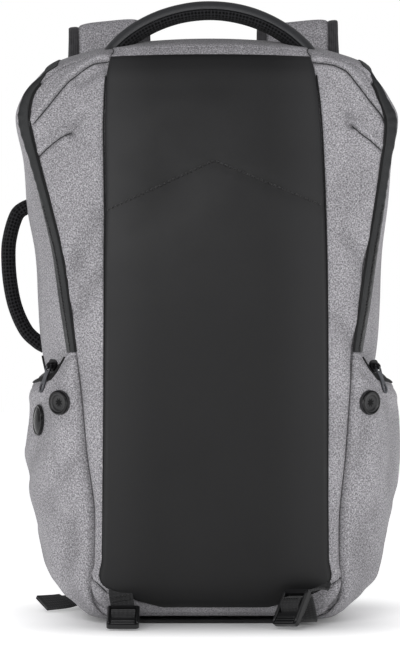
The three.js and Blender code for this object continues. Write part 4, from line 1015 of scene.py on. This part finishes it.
# Back panel
# The padded back that closes the body: foam under black spacer mesh, pressed into two columns of
# pads by channels that let air through.
def spacer_mesh(name, colour, pitch):
    """Knitted spacer mesh: dark round holes, pitch apart and a little uneven, between paler yarns
    with a faint sheen."""
    made, tree, surface = bare_material(name, 0.9)
    cloth = shade(tree, "UVMap", uv_map="cloth").outputs[0]
    cells = shade(tree, "TexVoronoi", {"Vector": cloth, "Scale": 1 / pitch, "Randomness": 0.15},
                  voronoi_dimensions="2D").outputs["Distance"]
    hole = shade(tree, "MapRange", {"Value": cells, "From Min": 0.28, "From Max": 0.46}).outputs[0]
    ramp = tones(tree, hole, times(colour, 0.15), times(colour, 4.5))
    # Painted shade: the mesh darkens in channels and at the rim by the seam attribute.
    painted_seam_shade(tree, surface, ramp.outputs[0], 0.6)
    knit = shade(tree, "TexNoise", {"Scale": 700.0}).outputs[0]
    relief = shade(tree, "Math", {0: hole, 1: knit}, operation="ADD").outputs[0]
    bumped(tree, surface, relief, 0.6, 0.0006)
    surface.inputs["Sheen Weight"].default_value = 0.03
    surface.inputs["Specular IOR Level"].default_value = 0.12
    return made


BACK_MESH = spacer_mesh("black spacer mesh", "111113", 0.003)


def back_piece():
    """The panel's rear face over its CAD outline: foam pads rise between a middle channel and five
    cross channels, and the edge rolls over to the body's seam."""
    heights = finer(BODY_KEYS, 8)
    across = np.linspace(-1, 1, 101)
    seat = body_point(across[None], heights[:, None], 4.0)
    seat[..., 1] = BACK_SEAM + 0.0004
    reach = 0.0119
    rim = np.minimum((1 - abs(across))[None] * 0.15, np.minimum(heights, 1 - heights)[:, None] * 0.493)
    roll = rolled(rim, 0.011)
    x, z = seat[..., 0], seat[..., 2]
    middle = bell(x, 0.011)
    cross = sum(bell(z - level + 0.16 * abs(x), 0.006) for level in (0.11, 0.19, 0.27, 0.35, 0.43))
    groove = np.clip(middle + cross, 0, 1) * np.clip((rim - 0.012) / 0.02, 0, 1)
    piping = bell(rim - 0.017, 0.0022)
    lift = 0.0008 + reach * roll - 0.0042 * groove - 0.0012 * piping + 0.0003 * waves(seat, (0.08, 0.04), 8)
    face = seat + np.stack([0 * lift, np.clip(lift, 0.0006, None), 0 * lift], -1)
    # Painted shade in the channels, at the piping and over the rolled rim.
    dark = np.clip(0.6 * groove + piping + 0.5 * (1 - roll), 0, 1)
    places = np.stack([x, z], -1).reshape(-1, 2)
    return closed_sheet("back_panel_mesh", face, seat, places, dark)


back_cloth = back_piece()
sewn_in(back_cloth, BACK_MESH, "back_panel")


# Top handle
# An arched carry handle sewn into the crest: a smooth dark sleeve over its outer half and black
# spacer mesh under it.
def smooth_route(points, steps):
    """An even run of points on a smooth curve through a few given ones, by their chord lengths."""
    points = np.asarray(points, float)
    gaps = np.linalg.norm(np.diff(points, axis=0), axis=-1) ** 0.5
    keys = np.concatenate([[0], np.cumsum(gaps)])
    dense = smooth_rows(keys, points, np.linspace(0, keys[-1], steps * 6))
    return resampled(dense, lengths_of(dense[:, None], 0)[-1, 0] / steps)


def tube_piece(name, route, width, thick, wide_way, start=0.0, end=2 * np.pi, power=1.0,
               around=36, bumps=None):
    """A padded tube or half tube along a route. Its section is an oval, width by thick, drawn from
    one turn to another; wide_way is the direction of the width. A full turn closes on itself."""
    way = unit(np.gradient(route, axis=0))
    side = unit(np.broadcast_to(wide_way, route.shape) - (way * wide_way).sum(-1, keepdims=True) * way)
    out = np.cross(side, way)
    full = abs(end - start) > 6.2
    turn = np.linspace(start, end, around, endpoint=not full)
    wide = np.cos(turn)[None, :, None] * side[:, None] * width / 2
    high = (np.sign(np.sin(turn)) * abs(np.sin(turn)) ** power)[None, :, None] * out[:, None] * thick / 2
    grow = np.ones(len(route)) if bumps is None else bumps
    points = route[:, None] + (wide + high) * grow[:, None, None]
    along = np.broadcast_to(lengths_of(route[:, None], 0), points.shape[:2])
    round_way = np.broadcast_to(lengths_of(points[len(route) // 2][None], 1), points.shape[:2])
    places = np.stack([round_way, along], -1)
    return new_piece(name, points, tube_faces(len(route), around), places)


GRIP_MESH = spacer_mesh("black grip mesh", "0e0e0f", 0.0031)
HANDLE_COATED = coated_cloth("dark grey coated handle cloth", "2c2d2f", 0.5, 0.25)


def handle_route(steps):
    """The handle's middle line: a rounded arch from foot to foot."""
    share = np.sin(np.pi / 2 * np.linspace(-1, 1, steps))
    rise = np.clip(1 - share * share, 0, 1) ** 0.75
    return np.stack([-0.0025 + share * 0.088, np.full(steps, -0.008), 0.486 + (0.52975 - 0.486) * rise], -1)


route = handle_route(120)
ripple = 1 + 0.012 * waves(route, (0.03, 0.017), 3)
sleeve = tube_piece("top_handle_sleeve", route, 0.0275, 0.0168, (0, 1.0, 0), np.pi + 0.02,
                    2 * np.pi - 0.02, 0.8, bumps=ripple)
grip = tube_piece("top_handle_mesh", route, 0.0262, 0.0162, (0, 1.0, 0), 0.02, np.pi - 0.02, 0.8,
                  bumps=ripple)
for piece, cloth, node, slot in ((sleeve, HANDLE_COATED, "top_handle", "band_cloth"),
                                 (grip, GRIP_MESH, "top_handle_grip", "spacer_mesh")):
    sewn_in(piece, cloth, node)


# Side handle
# A padded grab handle of black spacer mesh on the left side with a dark piping along it, sewn in at
# the top and held low down by a tab of webbing.
GRIP_OUT = [0.15, 0.5, 0.76, 0.97, 1, 0.93, 0.77, 0.47, 0.12, -0.1]
GRIP_UP = [1, 0.975, 0.92, 0.75, 0.6, 0.42, 0.26, 0.11, 0.03, 0]
side_route = smooth_route(np.stack([-0.150 - 0.0295 * np.array(GRIP_OUT), np.full(10, 0.005),
                                    0.236 + 0.125 * np.array(GRIP_UP)], -1), 130)
side_bumps = 1 + 0.02 * waves(side_route, (0.03, 0.014), 5)
side_grip = tube_piece("side_handle_mesh", side_route, 0.016, 0.0126, (0, 1.0, 0), bumps=side_bumps)
sewn_in(side_grip, GRIP_MESH, "side_handle")
side_way = np.gradient(side_route, axis=0)
side_out = np.cross(side_way, (0, 1.0, 0))
side_out *= -np.sign(side_out[len(side_out) // 2, 0]) / np.linalg.norm(side_out, axis=-1, keepdims=True)
side_piping = cord_piece("side_handle_piping", side_route + side_out * 0.005 - (0, 0.002, 0), 0.0013)
sewn_in(side_piping, HANDLE_COATED)


# Shoulder straps
# Two padded straps of the grey cloth with a foam core, bound along both edges with folded black
# tape. They are sewn to the back panel and stand up in a loop behind the top.
STRAP_OUT = [1, 1, 1, 1.005, 1.01, 1.015, 1.03, 1.08, 1.16, 1.27, 1.37, 1.43]
STRAP_BACK = [0, 0.02, 0.14, 0.28, 0.5, 0.72, 0.88, 0.97, 1, 0.94, 0.78, 0.6]
STRAP_UP = [0.83, 0.9, 0.962, 0.992, 1.001, 0.985, 0.94, 0.83, 0.71, 0.6, 0.51, 0.435]
STRAP_WIDTH = 0.074
BINDING_WIDTH = 0.009
STRAP_WIDE = [0.96, 1, 1, 1, 1, 1, 1, 1, 0.97, 0.86, 0.74, 0.66]


def catmull_rom(points, at):
    """The centripetal curve that the CAD straps follow, at shares of its whole number of spans."""
    points = np.asarray(points, float)
    ends = np.stack([2 * points[0] - points[1], 2 * points[-1] - points[-2]])
    line = np.concatenate([ends[:1], points, ends[1:]])
    last = len(points) - 1
    spot = np.minimum((at * last).astype(int), last - 1)
    t = (at * last - spot)[:, None]
    p = [line[spot + k] for k in range(4)]
    d = [np.maximum(np.linalg.norm(p[k + 1] - p[k], axis=-1, keepdims=True) ** 0.5, 1e-6) for k in range(3)]
    m1 = ((p[1] - p[0]) / d[0] - (p[2] - p[0]) / (d[0] + d[1]) + (p[2] - p[1]) / d[1]) * d[1]
    m2 = ((p[2] - p[1]) / d[1] - (p[3] - p[1]) / (d[1] + d[2]) + (p[3] - p[2]) / d[2]) * d[1]
    return ((2 * t ** 3 - 3 * t ** 2 + 1) * p[1] + (t ** 3 - 2 * t ** 2 + t) * m1
            + (-2 * t ** 3 + 3 * t ** 2) * p[2] + (t ** 3 - t ** 2) * m2)


def flat_route(points, acrosses, widths, steps):
    """A flat strap's middle line, the way of its width, its normal and its width at each step."""
    at = np.linspace(0, 1, steps)
    line = catmull_rom(points, at)
    spans = np.linspace(0, 1, len(points))
    way = unit(np.gradient(line, axis=0))
    across = in_between(at, spans, np.asarray(acrosses, float))
    across = unit(across - (across * way).sum(-1, keepdims=True) * way)
    return line, across, np.cross(way, across), np.interp(at, spans, widths)


def strap_route(side, steps):
    """The route of one shoulder strap, from its seat on the back panel, over and down."""
    up, back, out = np.array(STRAP_UP), np.array(STRAP_BACK), np.array(STRAP_OUT)
    points = np.stack([-0.008 * up + side * 0.085 * out,
                       0.0753 + (0.118 - 0.0753) * back + 0.0053 * (1 - back), 0.526 * up], -1)
    return flat_route(points, np.tile((1.0, 0, 0.1), (12, 1)), STRAP_WIDTH * np.array(STRAP_WIDE), steps)


def strap_band(name, route, low, high, thick, power, folds=None):
    """A part of the strap between two shares of its width, padded: thick is its full height and
    power rounds its edges."""
    line, across, normal, width = route
    v = np.linspace(-1, 1, 31)
    share = (low + high) / 2 + v * (high - low) / 2
    plump = np.clip(1 - abs(v) ** power, 0, 1) ** 0.5
    middle = line[:, None] + across[:, None] * (share[None] * width[:, None] / 2)[..., None]
    lift = thick / 2 * (0.35 + 0.65 * plump)[None] * np.ones((len(line), 1))
    if folds is not None:
        lift = lift + folds * plump
    along = np.broadcast_to(lengths_of(line[:, None], 0), middle.shape[:2])
    places = np.stack([share[None] * width[:, None] / 2, along], -1).reshape(-1, 2)
    face = middle + normal[:, None] * lift[..., None]
    back = middle - normal[:, None] * lift[..., None]
    # Painted shade towards the strap's rounded edges.
    return closed_sheet(name, face, back, places, np.broadcast_to(np.clip(1.2 - 1.2 * plump * 1.6, 0, 1),
                                                                  middle.shape[:2]))


BINDING = ribbed_webbing("black binding tape", "232224", 0.0011, 0.35)
inner_share = 1 - 2 * BINDING_WIDTH / STRAP_WIDTH
for side, name in SIDES:
    route = strap_route(side, 260)
    folds = 0.0005 * waves(route[0], (0.05, 0.027), 31 + side)[:, None]
    pad = strap_band("shoulder_strap_pad_" + name, route, -inner_share, inner_share, 0.0105, 4, folds)
    sewn_in(pad, GREY_CLOTH, "shoulder_strap_" + name)
    for edge, word in ((-side, "inner"), (side, "outer")):
        ends = sorted((edge * (inner_share - 0.012), edge))
        hem = strap_band("strap_binding_" + name + "_" + word + "_tape", route, *ends, 0.0056, 3)
        sewn_in(hem, BINDING, "strap_binding_" + name + "_" + word)
        line, across, normal, width = route
        row = line + across * (edge * (inner_share + 0.05) * width / 2)[:, None] + normal * 0.0027
        thread = stitches("strap_binding_stitches_" + name + "_" + word, row, normal, 0.0026, 0.0014, 0.0006)
        sewn_in(thread, BLACK_THREAD)


# Webbing and ladder locks
# 20 mm black polyester webbing with a ribbed weave, threaded through moulded ladder locks. The two
# front ones come out under the front panel, and the straps' own hang behind, the left one's free
# end on the floor.
WEBBING_WIDTH = 0.02
WEBBING_THICK = 0.0016
WEBBING = ribbed_webbing("black ribbed webbing", "111112", 0.0024, 0.8)
BUCKLE_AT = {"left": ((-75.6, -110, 9.2), (0, 0.92, 0.39), (0, -0.39, 0.92)),
             "right": ((66, -111, 17.2), (0.343, 0.444, 0.828), (-0.598, -0.576, 0.557))}
THREADED = [(0.5, -0.8), (0.41, -0.77), (0.353, -0.725), (0.28, 0), (0.206, 0.725), (0.103, 0.8),
            (0.003, 0.725), (-0.07, 0), (-0.144, -0.725), (-0.15, -1.15), (-0.08, -1.4), (0.18, -1.5),
            (0.42, -1.6)]
HOOKED = [(-0.6, -0.85), (-0.25, -0.82), (0, -0.84), (0.18, -0.84), (0.25, -0.55), (0.275, 0),
          (0.25, 0.55), (0.18, 0.84), (0, 0.84), (-0.25, 0.88), (-0.55, 0.9), (-0.75, 0.92)]


def buckle_axes(centre, up, out):
    """A buckle's place: its centre, the way across it, the way up it and the way out of its face."""
    up = unit(np.array(up, float))
    out = unit(np.array(out, float) - np.dot(out, up) * up)
    return np.array(centre, float), np.cross(up, out), up, out


def web_piece(name, stations, steps):
    """Webbing 20 mm wide and 1.6 mm thick along its stations, each a point and the way of the width,
    in millimetres, with slightly rounded edges."""
    points = np.array([s[0] for s in stations], float) / 1000
    acrosses = np.array([s[1] for s in stations], float)
    line, across, normal = flat_route(points, acrosses, np.full(len(points), WEBBING_WIDTH), steps)[:3]
    v = np.concatenate([[-1, -0.985], np.linspace(-0.95, 0.95, 9), [0.985, 1]])
    lift = WEBBING_THICK / 2 * np.where(abs(v) > 0.99, 0.45, 1.0)
    middle = line[:, None] + across[:, None] * (v * WEBBING_WIDTH / 2)[None, :, None]
    along = np.broadcast_to(lengths_of(line[:, None], 0), middle.shape[:2])
    places = np.stack([np.broadcast_to(v * WEBBING_WIDTH / 2, middle.shape[:2]), along], -1).reshape(-1, 2)
    face = middle + normal[:, None] * lift[None, :, None]
    back = middle - normal[:, None] * lift[None, :, None]
    made = closed_sheet(name, face, back, places)
    sewn_in(made, WEBBING)
    return made, line, across, normal


def through_buckle(axes, rows):
    """Stations of webbing in a buckle's own axes, in millimetres."""
    centre, across, up, out = axes
    return [(centre + up * (v * 34) + out * (n * 4), across) for v, n in rows]


WEB_STARTS = {"left": [((-78.5, -82, 36), (1, 0, 0)), ((-78.5, -83, 26), (1, 0, 0))],
              "right": [((91, -82.5, 38), (0.9, 0, 0.25)), ((88.5, -85, 31), (0.9, -0.15, 0.25))]}
WEB_ENDS = {"left": [((-76, -78, 5.5), (1, 0, 0)), ((-76, -66, 1.5), (1, 0, 0))],
            "right": [((79, -80, 6), (0.95, -0.3, 0)), ((79, -66, 1.5), (1, 0, 0))]}
for name in ("left", "right"):
    stations = WEB_STARTS[name] + through_buckle(buckle_axes(*BUCKLE_AT[name]), THREADED) + WEB_ENDS[name]
    web, line, across, normal = web_piece("base_webbing_" + name, stations, 150)
    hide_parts("base_web_" + name)
    for row, level in enumerate((0.024, 0.020)):
        at = np.argmin(abs(line[:60, 2] - level))
        shown = normal[at] * -np.sign(normal[at][1])
        tack_line = line[at] + np.linspace(-0.0085, 0.0085, 40)[:, None] * across[at] + shown * 0.0015
        tack = stitches("base_webbing_tack_%s_%d" % (name, row + 1), tack_line,
                        np.broadcast_to(shown, tack_line.shape), 0.0018, 0.0009, 0.001)
        sewn_in(tack, BLACK_THREAD)
    declare_cut(web)

WEB_FEET = {
    "left": [((-119.4, 71, 36), (0, 1, 0.15)), ((-124.5, 80, 70), (0.5, 0.9, 0)),
             ((-126, 90, 120), (1, 0.3, 0)), ((-125.5, 95, 165), (1, 0, 0))],
    "right": [((118.9, 71, 36), (0, -1, -0.15)), ((122.5, 80, 70), (0.5, -0.9, 0)),
              ((121.5, 90, 120), (1, -0.3, 0)), ((118.5, 95, 165), (1, 0, 0))],
}
WEB_TAILS = {
    "left": [((-123, 108, 140), (1, 0, 0)), ((-119, 110, 85), (1, 0, 0)), ((-116, 106, 42), (1, -0.1, 0)),
             ((-117, 94, 18), (0.95, -0.3, -0.05)), ((-122, 74, 9), (0.8, -0.55, -0.2)),
             ((-134, 52, 6.8), (0.5, -0.75, -0.42)), ((-152, 37, 6.4), (0.4, -0.78, -0.48))],
    "right": [((117, 107, 140), (1, 0, 0)), ((116, 107, 95), (1, 0, 0)), ((115, 106, 50), (1, 0, 0))],
}
for side, name in SIDES:
    centre = (-8 * 0.435 + side * 121.5, 101, 526 * 0.435 - 17 - 2)
    axes = buckle_axes(centre, (0, 0.15, 1), (0, 1, -0.15))
    hooked = [(point, -across) for point, across in through_buckle(axes, HOOKED)]
    web, line, across, normal = web_piece("strap_webbing_" + name, WEB_FEET[name] + hooked + WEB_TAILS[name],
                                          220)
    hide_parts("strap_web_" + name)
    sewn_end = []
    if name == "left":
        turned = [((line[at] + normal[at] * 0.0017) * 1000, across[at]) for at in (-13, -9, -5, -1)]
        sewn_end = [web_piece("strap_webbing_turned_end", turned, 12)[0]]
    declare_cut(web)


def moulded_plastic(name, colour, roughness):
    """A moulded or lacquered finish: a faint satin grain with tiny scuffs that break the gloss."""
    made, tree, surface = bare_material(name, roughness)
    body = own_place(tree)
    scuff = noise(tree, body, 220.0, 5.0, 0.65)
    ramp = tones(tree, scuff, times(colour, 0.8), times(colour, 1.3))
    # Painted shade where the piece has a seam attribute, as in the ports' slits.
    painted_seam_shade(tree, surface, ramp.outputs[0], 0.95)
    gloss = shade(tree, "MapRange", {"Value": scuff, "To Min": roughness - 0.1, "To Max": roughness + 0.15})
    tree.links.new(gloss.outputs[0], surface.inputs["Roughness"])
    bumped(tree, surface, scuff, 0.15, 0.0002)
    return made


ACETAL = moulded_plastic("black moulded acetal", "131314", 0.3)


def dress(node, finish, bevel, segments=2):
    """A hard CAD piece in its own shape, with its finish and softened edges."""
    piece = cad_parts[node]
    piece.data.materials.clear()
    piece.data.materials.append(finish)
    softened = piece.modifiers.new("moulded edge", "BEVEL")
    softened.width = bevel
    softened.segments = segments
    softened.limit_method = "ANGLE"
    softened.angle_limit = 0.6
    softened.harden_normals = False
    return piece


for node in ("strap_buckle_left", "strap_buckle_right", "base_buckle_left", "base_buckle_right"):
    dress(node, ACETAL, 0.0006)
for name in ("left", "right"):
    centre, across, up, out = buckle_axes(*BUCKLE_AT[name])
    bars = [("rib_%d" % (row + 1), level, 0.0105, 0) for row, level in enumerate((-0.0102, -0.0126, -0.015))]
    bars += [("rail_%d" % (row + 1), 0, 0.0148, u) for row, u in enumerate((-0.0121, 0.0121))]
    for part, level, half, u in bars:
        way = across if u == 0 else up
        middle = centre / 1000 + up * level + across * u + out * 0.0022
        bar_line = middle + np.linspace(-half, half, 24)[:, None] * way
        bar = cord_piece("base_buckle_%s_%s" % (part, name), bar_line, 0.0009 if u == 0 else 0.0014)
        sewn_in(bar, ACETAL)


# Sliders and pullers
# A glossy black slider at the front end of each pocket zip, and its cast metal puller, which hangs
# from the slider's bridge.
GLOSS = moulded_plastic("glossy black slider lacquer", "101011", 0.2)
GUNMETAL, metal_tree, metal_surface = bare_material("dark plated puller metal", 0.3)
metal_wear = noise(metal_tree, own_place(metal_tree), 260.0, 4.0)
metal_tint = tones(metal_tree, metal_wear, "4a4b4f", "7c7d81")
metal_tree.links.new(metal_tint.outputs[0], metal_surface.inputs["Base Color"])
metal_surface.inputs["Metallic"].default_value = 1.0
for name in ("left", "right"):
    dress("zip_slider_" + name, GLOSS, 0.0004)
    dress("zip_puller_" + name, GUNMETAL, 0.0003)


# Ports
# Moulded rubber cable ports on the front of both pockets, and an oval glossy cover on the left one.
PORT_RUBBER = moulded_plastic("black port rubber", "232324", 0.42)
for node, finish in (("eyelet_left", PORT_RUBBER), ("eyelet_right", PORT_RUBBER), ("side_port", GLOSS)):
    dress(node, finish, 0.0004)


def port_face(name, side, along, z, half_wide, half_high, profile, spokes):
    """A moulded face turned about the pocket's outward way. The profile is rows of a share of the
    half sizes and a height in millimetres; spokes are narrow slits cut along the radii."""
    seat = pocket_point(side, along, z)
    out = pocket_normal(side, np.array(along), np.array(z))
    up = unit(np.array((0, 0, 1.0)) - out[2] * out)
    across = np.cross(up, out)
    rows = np.array(profile)
    share = np.interp(np.linspace(0, len(rows) - 1, 60), np.arange(len(rows)), rows[:, 0])[:, None]
    height = np.interp(np.linspace(0, len(rows) - 1, 60), np.arange(len(rows)), rows[:, 1])[:, None]
    turn = np.linspace(0, 2 * np.pi, 120, endpoint=False)[None]
    slit = np.zeros((60, 120))
    if spokes:
        off = (turn * spokes / (2 * np.pi) + 0.5) % 1 - 0.5
        slit = bell(off * 2 * np.pi / spokes * share * half_wide, 0.0004)
        slit = slit * np.clip((0.62 - share) / 0.04, 0, 1) * np.clip((share - 0.2) / 0.05, 0, 1)
    lift = height / 1000 - 0.0008 * slit
    wide = (share * np.cos(turn) * half_wide)[..., None] * across
    high = (share * np.sin(turn) * half_high)[..., None] * up
    points = seat + wide + high + lift[..., None] * out
    places = np.stack(np.broadcast_arrays(share * half_wide, turn * half_wide), -1)
    # The slits are darkened as painted shade, through the seam attribute.
    return new_piece(name, points, tube_faces(60, 120), places, slit)


EYELET_RIM = [(0.93, 0.2), (0.98, 1.6), (0.94, 3.0), (0.86, 3.5), (0.77, 3.3), (0.7, 2.4), (0.66, 1.5),
              (0.63, 0.8), (0.6, 0.3)]
EYELET_DISC = [(0.66, 0.2), (0.64, 0.9), (0.5, 1.1), (0.3, 1.3), (0.16, 1.4), (0.03, 1.4)]
PORT_FACE = [(0.95, 0.2), (0.99, 2.2), (0.94, 2.9), (0.87, 3.0), (0.82, 2.5), (0.74, 2.9), (0.5, 3.8),
             (0.25, 4.3), (0.03, 4.4)]
PORT_LACQUER = moulded_plastic("glossy black port face", "080809", 0.16)
PORT_LACQUER.node_tree.nodes["Principled BSDF"].inputs["Specular IOR Level"].default_value = 0.35
DISC_RUBBER = moulded_plastic("matt black slotted rubber", "0e0e0f", 0.6)
DISC_RUBBER.node_tree.nodes["Principled BSDF"].inputs["Specular IOR Level"].default_value = 0.15
ports = [("eyelet_rim_left", -1, *EYELET_AT, 0.0109, 0.0109, EYELET_RIM, 0, PORT_LACQUER),
         ("eyelet_rim_right", 1, *EYELET_AT, 0.0109, 0.0109, EYELET_RIM, 0, PORT_LACQUER),
         ("eyelet_disc_left", -1, *EYELET_AT, 0.0109, 0.0109, EYELET_DISC, 8, DISC_RUBBER),
         ("eyelet_disc_right", 1, *EYELET_AT, 0.0109, 0.0109, EYELET_DISC, 8, DISC_RUBBER),
         ("side_port_face", -1, *SIDE_PORT_AT, 0.0096, 0.0136, PORT_FACE, 0, PORT_LACQUER)]
for *values, finish in ports:
    face = port_face(*values)
    sewn_in(face, finish)
dress("side_handle_tab", WEBBING, 0.0003)
